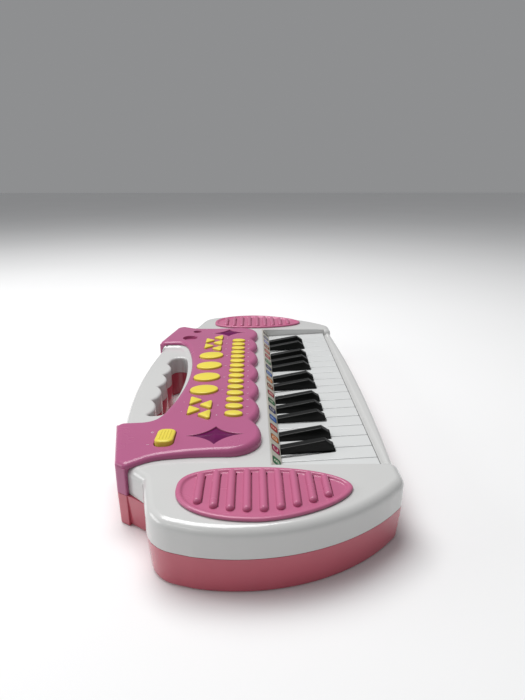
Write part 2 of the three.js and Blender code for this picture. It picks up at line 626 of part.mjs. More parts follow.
// Legs of the wings down to the parting line, which wrap the rounded edge of the upper case, and a
// lip that drops into the handle recess.
function rearSkirts() {
  const base = PARTING_Z + GAP / 2;
  const around = (plan, top) => stack(inset(plan, -GAP), rounding(top + GAP, CASE_EDGE_R + GAP, base - 1));
  const leg = prism(postOutline(LEG_DEPTH), base, CASE_TOP + 2 * GAP)
    .subtract(union([around(upperBody, CASE_TOP), around(handlePlan, HANDLE_TOP)]));
  const region = recessOutline();
  const lip = prism(inset(region, -PANEL_WALL + 0.1), HANDLE_TOP + GAP, CASE_TOP + 2)
    .subtract(prism(region, 0, SKY))
    .intersect(prism(panelPlan, 0, SKY));
  return [leg, leg.mirror([1, 0, 0]), lip];
}

// ---- speaker grilles -----------------------------------------------------------------------------
function grille(side) {
  const outline = grilleOutline(side);
  const rings = [[GRILLE.foot, 0], [GRILLE.rim - 1.1, 0.1], [GRILLE.rim - 0.4, 0.6], [GRILLE.rim, 1.6]];
  const flange = stack(outline, rings);
  const plug = prism(grilleOutline(side, GRILLE.lap + GAP), CASE_TOP - 5, GRILLE.foot + 0.2);
  const hollow = prism(grilleOutline(side, 6.5), CASE_TOP - 6, GRILLE.plate - 2);
  const dish = prism(grilleOutline(side, 3.4), GRILLE.plate, SKY);
  const ribs = [];
  const slots = [];
  for (let k = 0; k < GRILLE.ribs; k += 1) {
    const y = GRILLE.ribMiddleY + (k - (GRILLE.ribs - 1) / 2) * GRILLE.ribPitch;
    const [inner, outer] = chordAt(grilleOutline(1), y);
    const x0 = inner + GRILLE.innerMargin;
    const x1 = outer - GRILLE.outerMargin;
    const ends = [side * (x0 + 1), side * (x1 - 1)];
    ribs.push(capsule(side, x0, x1, y));
    slots.push(box(Math.min(...ends), Math.max(...ends), y - GRILLE.ribR - 0.9, y - GRILLE.ribR - 0.1,
      PARTING_Z, SKY));
  }
  return union([flange, plug]).subtract(hollow).subtract(dish).add(union(ribs)).subtract(union(slots));
}

function capsule(side, x0, x1, y) {
  const geometry = new THREE.CapsuleGeometry(GRILLE.ribR, x1 - x0 - 2 * GRILLE.ribR, 2, 8);
  geometry.rotateZ(Math.PI / 2);
  geometry.translate(side * (x0 + x1) / 2, y, GRILLE.ribZ);
  const above = box(Math.min(side * x0, side * x1) - 1, Math.max(side * x0, side * x1) + 1,
    y - GRILLE.ribR - 1, y + GRILLE.ribR + 1, GRILLE.plate - 0.6, SKY);
  return toSolid(geometry).intersect(above);
}

// ---- keys ----------------------------------------------------------------------------------------
const BLACK_KEYS = [
  { after: 1, shift: -1.4 }, { after: 2, shift: 1.4 },
  { after: 4, shift: -2.5 }, { after: 5, shift: 0 }, { after: 6, shift: 2.5 },
  { after: 8, shift: -1.4 }, { after: 9, shift: 1.4 },
  { after: 11, shift: -2.5 }, { after: 12, shift: 0 }, { after: 13, shift: 2.5 },
  { after: 15, shift: -1.4 }, { after: 16, shift: 1.4 },
].map(({ after, shift }) => ({ x: (after + 0.5 - (WHITE_COUNT - 1) / 2) * KEY_PITCH + shift }));

const whiteX = (i) => (i - (WHITE_COUNT - 1) / 2) * KEY_PITCH;
const keyTopAt = (y) => KEY_FRONT_Z - KEY_SLOPE * (y - KEY_FRONT_Y);
const KNUCKLE_R = 3.4;

function hingeKnuckle(x0, x1) {
  return rodAlongX(x0, x1, PIVOT.y, PIVOT.z, KNUCKLE_R, 10);
}

const hingeBore = (x0, x1) => rodAlongX(x0 - 1, x1 + 1, PIVOT.y, PIVOT.z, ROD_R + GAP, 8);

function whiteKey(i) {
  const x0 = whiteX(i) - (KEY_PITCH - KEY_GAP) / 2;
  const x1 = whiteX(i) + (KEY_PITCH - KEY_GAP) / 2;
  const { skirtZ, skirtRearY, deck, edge, wall } = WHITE_KEY;
  const profile = [[KEY_FRONT_Y, skirtZ], [skirtRearY - 1, skirtZ + 1],
    [skirtRearY + 1, keyTopAt(skirtRearY + 1) - deck], [PIVOT.y, keyTopAt(PIVOT.y) - deck],
    [PIVOT.y, keyTopAt(PIVOT.y) - 0.4], [KEY_FRONT_Y + edge, KEY_FRONT_Z], [KEY_FRONT_Y, KEY_FRONT_Z - edge]];
  const notches = BLACK_KEYS.filter(({ x }) => Math.abs(x - whiteX(i)) < KEY_PITCH)
    .map(({ x }) => box(x - BLACK_WIDTH / 2 - BLACK_CLEARANCE, x + BLACK_WIDTH / 2 + BLACK_CLEARANCE,
      BLACK_FRONT_Y - BLACK_CLEARANCE, BOARD.y1, 0, SKY));
  const pocket = box(x0 + wall, x1 - wall, KEY_FRONT_Y + wall, skirtRearY - wall, 0,
    keyTopAt(skirtRearY) - wall);
  let key = union([sideProfile(profile, x0, x1), hingeKnuckle(x0, x1)]).subtract(pocket);
  key = key.subtract(hingeBore(x0, x1));
  return notches.length ? key.subtract(union(notches)) : key;
}

function blackKey({ x }) {
  const half = BLACK_WIDTH / 2;
  const rear = WELL_REAR_Y - 0.4;
  const shank = keyTopAt(rear) - 0.3;
  const { foot, rearTop, crest, ramp, frontTop, leanDeg, armHalf } = BLACK_KEY;
  const profile = [[BLACK_FRONT_Y, foot], [rear, foot], [rear, rearTop], crest, ramp,
    [BLACK_FRONT_Y, frontTop]];
  const body = sideProfile(profile, x - half, x + half);
  const lean = THREE.MathUtils.degToRad(leanDeg);
  const flank = (side) => {
    const cutter = new THREE.BoxGeometry(6, 60, 40);
    cutter.translate(side * 3, 0, 0);
    cutter.rotateY(-side * lean);
    cutter.translate(x + side * half, -42, 38);
    return toSolid(cutter);
  };
  const arm = sideProfile([[rear - 6, 31.2], [PIVOT.y, 29.6], [PIVOT.y, shank - 2.2], [rear - 1, shank]],
    x - armHalf, x + armHalf);
  return union([body.subtract(union([flank(-1), flank(1)])), arm, hingeKnuckle(x - armHalf, x + armHalf)])
    .subtract(hingeBore(x - armHalf, x + armHalf));
}

// ---- small static pieces -----------------------------------------------------------------------------
function noteStrip() {
  const thick = 0.5;
  const run = STRIP_REAR_Y - WELL_REAR_Y;
  const rise = CASE_TOP - SLOPE_FOOT_Z;
  const length = Math.hypot(run, rise);
  const ny = -rise / length;
  const nz = run / length;
  const at = (t, n) => [WELL_REAR_Y + run * t + ny * n, SLOPE_FOOT_Z + rise * t + nz * n];
  const profile = [at(0.02, GAP), at(0.02, GAP + thick), at(0.97, GAP + thick), at(0.97, GAP)].reverse();
  return sideProfile(profile, -WELL_HALF + 0.6, WELL_HALF - 0.6);
}

function gemLens(side) {
  const top = panelTopAt(GEM.y) - 0.6;
  const outline = starOutline(side * GEM.x, GEM.y, GEM.halfX, GEM.halfY);
  const lens = stack(outline, [[GEM.seatZ + 1.6, 0], [top - 1.2, 0], [top - 0.9, 0.3]]);
  const facets = starFacets(side * GEM.x, GEM.y, top - 1, top + 0.2, outline);
  const flange = prism(starOutline(side * GEM.x, GEM.y, GEM.halfX + 1.6, GEM.halfY + 2.2), GEM.seatZ,
    GEM.seatZ + 1.8);
  return union([lens, facets, flange]);
}

// Low pyramid over the star outline.
function starFacets(cx, cy, z0, z1, outline) {
  const position = [];
  const edge = inset(outline, 0.35);
  edge.forEach(([x, y], i) => {
    const [nx, ny] = edge[(i + 1) % edge.length];
    position.push(x, y, z0, nx, ny, z0, cx, cy, z1);
    position.push(nx, ny, z0, x, y, z0, cx, cy, z0 - 0.6);
  });
  const geometry = new THREE.BufferGeometry();
  geometry.setAttribute('position', new THREE.Float32BufferAttribute(position, 3));
  return toSolid(geometry);
}

function powerSwitch() {
  const top = panelTopAt(SWITCH.y);
  const body = stack(roundedBox(SWITCH.x, SWITCH.y, SWITCH.w, SWITCH.d, SWITCH.r),
    [[43.6, 0], [top + 1.4, 0], [top + 2.2, 0.4], [top + 2.6, 1.2]]);
  const ribs = [-1.5, -0.5, 0.5, 1.5].map((k) => box(SWITCH.x - 7, SWITCH.x + 7,
    SWITCH.y + k * 2.2 - 0.4, SWITCH.y + k * 2.2 + 0.4, top + 2, top + 2.9));
  const stem = cylinder(SWITCH.x, SWITCH.y, 3, 40.6, 44.4, 14);
  const geometry = toGeometry(union([body, ...ribs, stem]));
  geometry.translate(-SWITCH.x, -SWITCH.y, -SWITCH.pivotZ);
  geometry.rotateY(THREE.MathUtils.degToRad(SWITCH.tilt));
  geometry.translate(SWITCH.x, SWITCH.y, SWITCH.pivotZ);
  return toSolid(geometry);
}

function batteryDoor() {
  const { x0, x1, y0, y1 } = BATTERY;
  const reach = DOOR.ledge - GAP;
  const plate = box(x0 - reach, x1 + reach, y0 - reach, y1 + reach, 0, DOOR.thick);
  const ear = cylinder(0, DOOR.screwY, DOOR.earR - GAP, 0, DOOR.thick, 20);
  const neck = box(-3.6, 3.6, y1, DOOR.screwY, 0, DOOR.thick);
  const lip = box(x0 + 1, x1 - 1, y0 + 1, y1 - 1, DOOR.thick - 0.2, DOOR.thick + 1);
  const inner = box(x0 + 3, x1 - 3, y0 + 3, y1 - 3, DOOR.thick, DOOR.thick + 2);
  const screwHole = cylinder(0, DOOR.screwY, DOOR.bore, -1, 5, 12);
  const countersink = cylinder(0, DOOR.screwY, 3.2, -1, 1, 16);
  return union([plate, ear, neck, lip]).subtract(union([inner, screwHole, countersink]));
}

function doorScrew() {
  const y = DOOR.screwY;
  const head = cylinder(0, y, 2.8, 0.1, 0.8, 16);
  const shaft = cylinder(0, y, 1.3, 0.6, 7.5, 12);
  const slot = union([box(-2, 2, y - 0.35, y + 0.35, -1, 0.5), box(-0.35, 0.35, y - 2, y + 2, -1, 0.5)]);
  return union([head, shaft]).subtract(slot);
}

function batteryContacts() {
  const { x0, y0, y1 } = BATTERY;
  const bar = box(x0 + 0.4, x0 + 1, y0 + 2, y1 - 2, 5, 16);
  const cones = [0.125, 0.375, 0.625, 0.875].map((t) => {
    const y = y0 + (y1 - y0) * t;
    const geometry = new THREE.CylinderGeometry(1.6, 4, 5, 10);
    geometry.rotateZ(-Math.PI / 2);
    geometry.translate(x0 + 3.3, y, 10.5);
    return toSolid(geometry);
  });
  return union([bar, ...cones]);
}

function speakerDriver(side) {
  const profile = [[0, 20], [13, 20], [13, 25.5], [17, 26.5], [25.5, 36.6], [28, 36.6], [28, 38.2],
    [23, 38.2], [10, 31], [6, 32.4], [0, 33]];
  const geometry = new THREE.LatheGeometry(profile.map(([r, z]) => new THREE.Vector2(r, z)), 20);
  geometry.rotateX(Math.PI / 2);
  geometry.translate(side * SPEAKER.x, SPEAKER.y, 0);
  return toSolid(geometry);
}

const mainBoard = () => box(-BOARD.half, BOARD.half, BOARD.y0, BOARD.y1, BOARD.z, BOARD.z + BOARD.thick);
const contactBoard = () => box(-CONTACT.half, CONTACT.half, CONTACT.y0, CONTACT.y1, CONTACT.z,
  CONTACT.z + BOARD.thick);

// Rubber mat with one low dome under every key.
function keyDomeStrip() {
  const base = CONTACT.z + BOARD.thick + GAP;
  const y = (CONTACT.y0 + CONTACT.y1) / 2;
  const mat = box(-CONTACT.half + 1, CONTACT.half - 1, y - 6, y + 6, base, base + 1);
  const xs = [...Array.from({ length: WHITE_COUNT }, (_, i) => whiteX(i)), ...BLACK_KEYS.map(({ x }) => x)];
  const domes = xs.map((x, i) => {
    const row = i < WHITE_COUNT ? -2.6 : 2.6;
    return cylinder(x, y + row, 2.2, base + 0.8, base + 2.2, 6, 1.6);
  });
  return union([mat, ...domes]);
}

function buttonDomeSheet() {
  const sheet = box(-SHEET.half, SHEET.half, SHEET.y0, SHEET.y1, SHEET.z, SHEET.z + SHEET.thick);
  const spots = [...toneXs.map((x) => [x, TONE.y]), ...MODE.x.map((x) => [x, MODE.y]),
    ...Object.values(TRIANGLES).flatMap(({ x, y }) => x.map((cx) => [cx, y]))];
  return union([sheet, ...spots.map(([x, y]) => cylinder(x, y, SHEET.domeR, SHEET.z + SHEET.thick - 0.2,
    SHEET.z + SHEET.domeTop, 6, SHEET.domeR * 0.75))]);
}

// ---- assembly --------------------------------------------------------------------------------------------
const COLOURS = {
  offWhite: 0xe8e9e6, pink: 0xd9718b, mauve: 0xc0739a, yellow: 0xf0de3c, gem: 0x6a1258, keyWhite: 0xf2f2ee,
  black: 0x121212, strip: 0xe9e0cc, steel: 0xb8bcc0, board: 0x2f6b3a, rubber: 0x55585c, cone: 0x1c1c1e,
};

const keyboard = new THREE.Group();
keyboard.name = 'toy_electronic_keyboard';

function piece(name, solid, colour, roughness = 0.35, metalness = 0) {
  const material = new THREE.MeshStandardMaterial({ color: colour, roughness, metalness });
  const mesh = new THREE.Mesh(toGeometry(solid), material);
  mesh.name = name;
  keyboard.add(mesh);
}

const numbered = (stem, i) => `${stem}_${String(i + 1).padStart(2, '0')}`;

piece('lower_case', lowerCase(), COLOURS.pink);
piece('upper_case', upperCase(), COLOURS.offWhite);
piece('control_panel', controlPanel(), COLOURS.mauve);
piece('speaker_grille_bass', grille(-1), COLOURS.mauve);
piece('speaker_grille_treble', grille(1), COLOURS.mauve);
piece('gem_lens_bass', gemLens(-1), COLOURS.gem, 0.1);
piece('gem_lens_treble', gemLens(1), COLOURS.gem, 0.1);
piece('note_label_strip', noteStrip(), COLOURS.strip, 0.5);
for (let i = 0; i < WHITE_COUNT; i += 1) piece(numbered('white_key', i), whiteKey(i), COLOURS.keyWhite, 0.25);
BLACK_KEYS.forEach((key, i) => piece(numbered('black_key', i), blackKey(key), COLOURS.black, 0.2));
piece('tone_button_row', buttonMoulding(toneXs.map(toneShape), toneXs.map((x) => [x]), TONE.y, 3.4),
  COLOURS.yellow);
MODE.x.forEach((x, i) => piece(numbered('mode_button', i), buttonMoulding([modeShape(x)], [[x]], MODE.y, 10),
  COLOURS.yellow));
Object.entries(TRIANGLES).forEach(([name, { x, y, dir }]) => {
  const shapes = x.map((cx) => triangle(cx, y, dir));
  piece(name, buttonMoulding(shapes, x.map((cx) => [cx]), y, 3), COLOURS.yellow);
});
piece('power_switch', powerSwitch(), COLOURS.yellow);
piece('key_hinge_rod', rodAlongX(-WELL_HALF - 4.6, WELL_HALF + 4.6, PIVOT.y, PIVOT.z, ROD_R),
  COLOURS.steel, 0.3, 1);
piece('main_circuit_board', mainBoard(), COLOURS.board, 0.6);
piece('button_dome_sheet', buttonDomeSheet(), COLOURS.rubber, 0.8);
piece('key_contact_board', contactBoard(), COLOURS.board, 0.6);
piece('key_dome_strip', keyDomeStrip(), COLOURS.rubber, 0.8);
piece('speaker_driver_bass', speakerDriver(-1), COLOURS.cone, 0.7);
piece('speaker_driver_treble', speakerDriver(1), COLOURS.cone, 0.7);
piece('battery_door', batteryDoor(), COLOURS.pink);
piece('battery_door_screw', doorScrew(), COLOURS.steel, 0.3, 1);
piece('battery_contacts', batteryContacts(), COLOURS.steel, 0.3, 1);

export default keyboard;
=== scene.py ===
"""Looks of a toy electronic keyboard: glossy moulded case, raised panel, keys, buttons and labels.

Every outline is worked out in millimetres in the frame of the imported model, then scaled to metres.
"""
import json
import math

import bpy
from mathutils import Matrix, Vector


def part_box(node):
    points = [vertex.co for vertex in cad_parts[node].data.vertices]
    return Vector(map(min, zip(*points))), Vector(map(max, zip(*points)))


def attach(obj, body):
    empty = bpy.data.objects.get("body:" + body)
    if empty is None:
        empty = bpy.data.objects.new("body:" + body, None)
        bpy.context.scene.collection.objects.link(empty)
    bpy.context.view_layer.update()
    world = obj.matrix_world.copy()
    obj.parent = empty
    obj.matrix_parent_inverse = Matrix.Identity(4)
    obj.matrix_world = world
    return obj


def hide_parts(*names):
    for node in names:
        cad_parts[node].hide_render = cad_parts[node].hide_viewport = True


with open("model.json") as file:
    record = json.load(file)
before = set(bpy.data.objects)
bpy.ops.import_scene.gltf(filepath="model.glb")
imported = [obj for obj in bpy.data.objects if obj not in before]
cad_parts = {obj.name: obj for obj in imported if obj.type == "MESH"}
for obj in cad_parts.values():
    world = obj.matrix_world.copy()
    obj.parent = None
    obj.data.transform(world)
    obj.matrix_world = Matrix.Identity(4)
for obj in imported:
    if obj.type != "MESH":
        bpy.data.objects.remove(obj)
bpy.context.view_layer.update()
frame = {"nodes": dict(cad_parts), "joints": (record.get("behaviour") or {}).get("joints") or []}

MM = 0.001


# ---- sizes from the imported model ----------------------
def node_box(node):
    """Lowest and highest corners of a CAD node, in millimetres."""
    low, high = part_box(node)
    return low / MM, high / MM


def middle_of(node):
    low, high = node_box(node)
    return (low + high) / 2


def numbered(stem):
    """The nodes called stem_01, stem_02 and so on, in order."""
    return sorted(name for name in frame["nodes"] if name.startswith(stem + "_"))


CASE_LOW, CASE_HIGH = node_box("upper_case")
KEY_LOW, KEY_HIGH = node_box("white_key_01")
BLACK_LOW, BLACK_HIGH = node_box("black_key_01")
DOOR_LOW, DOOR_HIGH = node_box("battery_door")
GRILLE_LOW, GRILLE_HIGH = node_box("speaker_grille_treble")
ROD = middle_of("key_hinge_rod")
JOINTS = {joint["name"]: joint for joint in frame["joints"]}

GAP = 0.3                                   # clearance between touching pieces
WALL = 2.4
PARTING_Z = CASE_LOW.z - GAP / 2            # where the two case halves meet
CASE_TOP = CASE_HIGH.z
HANDLE_TOP = CASE_TOP - 2.2
RIM_TOP = CASE_TOP - 4.2
SKY = CASE_TOP + 16                         # above every piece, for cutters that open upward
EDGE_R = 6                                  # big rounded top edge of the case
FRONT_Y = CASE_LOW.y
FRONT_BOW = 4.5
RIM_HALF = 154
RIM_REACH = RIM_HALF + 3.5                  # the rim runs on into the body at both ends
RIM_SLOPE, RIM_DROP, RIM_EDGE_R = 4, 2.7, 3  # the rim top falls to the key slot
END_ARC = {"x": 90.5, "y": 3.7, "r": 133.7, "first": -44, "last": 12}
BODY_FRONT = [(153, -99.8, 7), (175.6, -99.8, 14)]
BODY_REAR = [(213.6, 56.6, 26), (171, 66.8, 3)]
HANDLE_REAR_Y = CASE_HIGH.y
HANDLE_HALF = 98
HANDLE_BOW = 7
HANDLE_ROOT = [(108, 44), (108, 91), (HANDLE_HALF + 4, 93.4)]
HOLE_X, HOLE_FRONT_Y, HOLE_BEND = (-66, 56), 60, 700
HOLE_TREBLE_END = [(64, 67, 6), (62, 80, 8)]
HOLE_BASS_END = [(-76.5, 80, 4), (-75.5, 69.5, 7)]
GRIP_PITCH, GRIP_GROOVE_Y, GRIP_RISE = 30, 83, 5.5

PANEL_TOP = 49.5
PANEL_SLOPE = 0.036                         # the panel falls toward the rear
PANEL_SLOPE_Y = 27
PANEL_WALL = 2.2
PANEL_EDGE_R = 4.4
SCALLOP_PITCH, SCALLOP_Y, SCALLOP_RISE, SCALLOP_NOTCH_R = 40.6, -3.1, 6, 1.6
LOBE_FRONT, LOBE_RISE = (123, -9.8), 1.7
LOBE_SIDE = [(147.2, -9.8, 23), (147.2, 40, 150), (151.4, 64, 30)]
WING_SIDE, WING_CORNER, WING_INNER_Y = (162.2, 79.6), (157.4, 86.9), 99.9
WING_CORNER_R, LEG_PROUD, LEG_DEPTH, POST_DEPTH = 4.5, 0.2, 9, 5
RECESS_HALF, RECESS_SHOULDER, RECESS_NECK = 98.5, (98.5, 72.4, 13), (84, 66.2)
RECESS_BOW_HALF, RECESS_BOW_Y, RECESS_BOW = 88, 67.5, 12.5

WHITE_XS = [middle_of(name).x for name in numbered("white_key")]
BLACK_XS = [middle_of(name).x for name in numbered("black_key")]
KEY_PITCH = WHITE_XS[1] - WHITE_XS[0]
KEY_GAP = KEY_PITCH - (KEY_HIGH.x - KEY_LOW.x)
KEY_FRONT_Y, KEY_FRONT_Z = KEY_LOW.y, KEY_HIGH.z
KEY_SLOPE = 0.055
KEY_DECK = 4.6
BLACK_WIDTH = BLACK_HIGH.x - BLACK_LOW.x
BLACK_FRONT_Y = BLACK_LOW.y
BLACK_CLEARANCE = 0.5
BLACK_FOOT_Z = 33
WELL_FRONT_Y = KEY_FRONT_Y - 1.2
WELL_REAR_Y = -22.8
WELL_HALF = len(WHITE_XS) * KEY_PITCH / 2 + 0.5
STRIP_REAR_Y = -15.3
SLOPE_FOOT_Z = 36.5
KNUCKLE_R, BORE_R = 3.4, 1.8                # hinge ends of the keys


def panel_lift(_, y):
    return -PANEL_SLOPE * (y - PANEL_SLOPE_Y)


def panel_top_at(y):
    return PANEL_TOP + panel_lift(0, y)


def key_top_at(y):
    return KEY_FRONT_Z - KEY_SLOPE * (y - KEY_FRONT_Y)


# ---- outlines -----------------------------------------
def mirror_x(points):
    return [(-p[0], p[1]) for p in reversed(points)]


def filleted(corners, step=7.5):
    """Replace (x, y, radius) corners with arcs; corners without a radius stay as they are."""
    out = []
    for i, corner in enumerate(corners):
        x, y = corner[:2]
        r = corner[2] if len(corner) > 2 else 0
        if not r:
            out.append((x, y))
            continue
        here = Vector((x, y))
        a = (Vector(corners[i - 1][:2]) - here).normalized()
        b = (Vector(corners[(i + 1) % len(corners)][:2]) - here).normalized()
        half = math.acos(max(-1, min(1, a.dot(b)))) / 2
        centre = here + (a + b).normalized() * (r / math.sin(half))
        start = here + a * (r / math.tan(half)) - centre
        end = here + b * (r / math.tan(half)) - centre
        first = math.atan2(start.y, start.x)
        turn = (math.atan2(end.y, end.x) - first + math.pi) % (2 * math.pi) - math.pi
        steps = max(2, math.ceil(abs(math.degrees(turn)) / step))
        for k in range(steps + 1):
            angle = first + turn * k / steps
            out.append((centre.x + r * math.cos(angle), centre.y + r * math.sin(angle)))
    return out


def bulge(p, q, rise, steps):
    """Inner points of the arc that bulges by rise from the chord between p and q."""
    p, q = Vector(p), Vector(q)
    chord = (q - p).length
    radius = (chord * chord / 4 + rise * rise) / (2 * abs(rise))
    sweep = 2 * math.asin(min(1, chord / 2 / radius))
    along = (q - p) / chord
    out = Vector((along.y, -along.x)) * math.copysign(1, rise)
    points = []
    for k in range(1, steps):
        angle = sweep * (k / steps - 0.5)
        s = chord / 2 + radius * math.sin(angle)
        h = radius * math.cos(angle) - (radius - abs(rise))
        points.append(tuple(p + along * s + out * h))
    return points


def inset(points, d):
    """Move an anticlockwise outline inward by d, or outward when d is negative."""
    if not d:
        return list(points)
    out = []
    for i, (x, y) in enumerate(points):
        px, py = points[i - 1]
        nx, ny = points[(i + 1) % len(points)]
        a = Vector((py - y, x - px)).normalized()
        b = Vector((y - ny, nx - x)).normalized()
        scale = d / max(0.35, 1 + a.dot(b))
        out.append((x + (a.x + b.x) * scale, y + (a.y + b.y) * scale))
    return out


def ellipse(cx, cy, rx, ry, steps=64):
    turns = [2 * math.pi * k / steps for k in range(steps)]
    return [(cx + rx * math.cos(t), cy + ry * math.sin(t)) for t in turns]


def rounded_box(cx, cy, w, d, r, step=7.5):
    return filleted([(cx - w / 2, cy - d / 2, r), (cx + w / 2, cy - d / 2, r),
                     (cx + w / 2, cy + d / 2, r), (cx - w / 2, cy + d / 2, r)], step)


def end_arc():
    steps, first, last, r = 40, END_ARC["first"], END_ARC["last"], END_ARC["r"]
    angles = [math.radians(first + (last - first) * k / steps) for k in range(steps + 1)]
    return [(END_ARC["x"] + r * math.cos(a), END_ARC["y"] + r * math.sin(a)) for a in angles]


def body_outline(rear):
    """Case without its front rim and handle; rear is the corners behind the neck, up to the middle."""
    inner_y = WELL_FRONT_Y + 1.5
    right = filleted([(0, inner_y), (BODY_FRONT[0][0], inner_y), *BODY_FRONT, *end_arc(),
                      *BODY_REAR, *rear])
    return right + mirror_x(right)[1:-1]


def rim_outline(inner_y, half):
    """Band from the bowed front edge back to inner_y."""
    steps = 24
    xs = [half * k / steps for k in range(steps + 1)]
    arc = [(x, FRONT_Y + FRONT_BOW * (x / RIM_HALF) ** 2) for x in xs] + [(half, inner_y)]
    return arc + mirror_x(arc)[:-1]


def handle_outline():
    steps = 24
    xs = [HANDLE_HALF * (1 - k / steps) for k in range(steps + 1)]
    arc = [(x, HANDLE_REAR_Y - HANDLE_BOW * (x / HANDLE_HALF) ** 2) for x in xs]
    right = [*HANDLE_ROOT, *arc]
    return right + mirror_x(right)[1:]


def post_outline(thick):
    """Band down the rear of a wing, from its end face round the corner to the handle."""
    proud = Vector((LEG_PROUD, LEG_PROUD))
    side, corner = Vector(WING_SIDE) + proud, Vector(WING_CORNER) + proud
    inner = Vector((RECESS_HALF + 0.7, WING_INNER_Y))

    def normal(p, q):
        return Vector((q.y - p.y, p.x - q.x)).normalized()

    a, b = normal(side, corner), normal(corner, inner)
    miter = (a + b) * (thick / (1 + a.dot(b)))
    return filleted([(*side, 0.8), (*corner, WING_CORNER_R), (*inner, 1.2), tuple(inner - b * thick),
                     (*(corner - miter), 1), tuple(side - a * thick)])


def recess_bow(steps=48):
    """Points of the arc in front of the handle recess, from +X to -X."""
    ends = (RECESS_BOW_HALF, RECESS_BOW_Y), (-RECESS_BOW_HALF, RECESS_BOW_Y)
    return [p for p in bulge(*ends, -RECESS_BOW, steps) if abs(p[0]) < RECESS_NECK[0] - 0.5]


def panel_outline():
    """Scalloped front edge, a round lobe at each end and two wings that reach past the handle."""
    steps = 24
    half = SCALLOP_PITCH / 2
    front = bulge((-half, SCALLOP_Y), (half, SCALLOP_Y), SCALLOP_RISE, steps)[steps // 2 - 1:]
    front.append((half, SCALLOP_Y, SCALLOP_NOTCH_R))
    for k in (1, 2):
        x0, x1 = (k - 0.5) * SCALLOP_PITCH, (k + 0.5) * SCALLOP_PITCH
        front += bulge((x0, SCALLOP_Y), (x1, SCALLOP_Y), SCALLOP_RISE, steps)
        front.append((x1, SCALLOP_Y, SCALLOP_NOTCH_R))
    lobe = [*bulge(front[-1][:2], LOBE_FRONT, LOBE_RISE, 16), LOBE_FRONT, *LOBE_SIDE]
    wing = [(*WING_SIDE, 5), (*WING_CORNER, WING_CORNER_R), (RECESS_HALF, WING_INNER_Y, 5.6),
            RECESS_SHOULDER, RECESS_NECK]
    bow = [p for p in recess_bow() if p[0] > -0.1]
    right = filleted([*front, *lobe, *wing, *bow])
    return right + mirror_x(right)[1:-1]


def recess_outline():
    """The open area behind the panel where the handle is."""
    beyond = HANDLE_REAR_Y + 17.5
    (neck_x, neck_y), (shoulder_x, shoulder_y, shoulder_r) = RECESS_NECK, RECESS_SHOULDER
    return filleted([(-neck_x, neck_y), *recess_bow()[::-1], RECESS_NECK, RECESS_SHOULDER,
                     (RECESS_HALF, beyond), (-RECESS_HALF, beyond), (-shoulder_x, shoulder_y, shoulder_r)])


def hole_outline():
    """Through hole of the handle, with rounded finger grips along its rear."""
    steps, (x0, x1) = 24, HOLE_X
    xs = [x0 + (x1 - x0) * k / steps for k in range(steps + 1)]
    front = [(x, HOLE_FRONT_Y + x * x / HOLE_BEND) for x in xs]
    grips = []
    for k in (1.5, 0.5, -0.5, -1.5):
        start, end = (k * GRIP_PITCH, GRIP_GROOVE_Y), ((k - 1) * GRIP_PITCH, GRIP_GROOVE_Y)
        grips += [start, *reversed(bulge(end, start, GRIP_RISE, 16))]
    return filleted([*front, *HOLE_TREBLE_END, *grips, *HOLE_BASS_END])


# Egg-shaped grille: the reach of each quarter from one centre, and its roundness (2 is an ellipse).
# The quarters go outer rear, inner rear, inner front, outer front.
GRILLE_CENTRE = Vector((186, -6.5))
GRILLE_REACH_X = [GRILLE_HIGH.x - GRILLE_CENTRE.x, GRILLE_CENTRE.x - GRILLE_LOW.x]
GRILLE_REACH_Y = [GRILLE_HIGH.y - GRILLE_CENTRE.y, GRILLE_CENTRE.y - GRILLE_LOW.y]
GRILLE_POWERS = [2.2, 2.85, 1.9, 1.6]
GRILLE_LAP = 4


def grille_outline(side, shrink=0.0):
    steps = 36
    reach_x = [GRILLE_REACH_X[i] - shrink for i in (0, 1, 1, 0)]
    reach_y = [GRILLE_REACH_Y[i] - shrink for i in (0, 0, 1, 1)]
    points = []
    for k in range(4 * steps):
        quarter, angle = k // steps, math.pi / 2 * k / steps
        power = 2 / GRILLE_POWERS[quarter]
        across = math.copysign(abs(math.cos(angle)) ** power, math.cos(angle))
        along = math.copysign(abs(math.sin(angle)) ** power, math.sin(angle))
        points.append((GRILLE_CENTRE.x + across * reach_x[quarter],
                       GRILLE_CENTRE.y + along * reach_y[quarter]))
    return points if side > 0 else mirror_x(points)


def chord_at(points, y):
    """Lowest and highest x of an outline at one y."""
    xs = []
    for i, (x, py) in enumerate(points):
        nx, ny = points[(i + 1) % len(points)]
        if (py - y) * (ny - y) < 0:
            xs.append(x + (nx - x) * (y - py) / (ny - py))
    return min(xs), max(xs)


def star_outline(cx, cy, half_x, half_y, steps=10):
    """Four points joined by arcs that bow inward."""
    tips = [(half_x, 0), (0, half_y), (-half_x, 0), (0, -half_y)]
    points = []
    for q in range(4):
        points += [tips[q], *bulge(tips[q], tips[(q + 1) % 4], -3.2, steps)]
    return [(cx + x, cy + y) for x, y in points]


def triangle(cx, cy, way):
    """Rounded triangle that points to +Y when way is 1 and to -Y when it is -1."""
    half, back, reach, r = 8.2, 3.9, 6.2, 1.3
    corners = [(cx - half, cy - way * back, r), (cx + half, cy - way * back, r), (cx, cy + way * reach, r)]
    points = filleted(corners, 12)
    return points if way > 0 else points[::-1]


# ---- meshes -------------------------------------------
def new_object(name, mesh):
    obj = bpy.data.objects.new(name, mesh)
    bpy.context.scene.collection.objects.link(obj)
    return obj


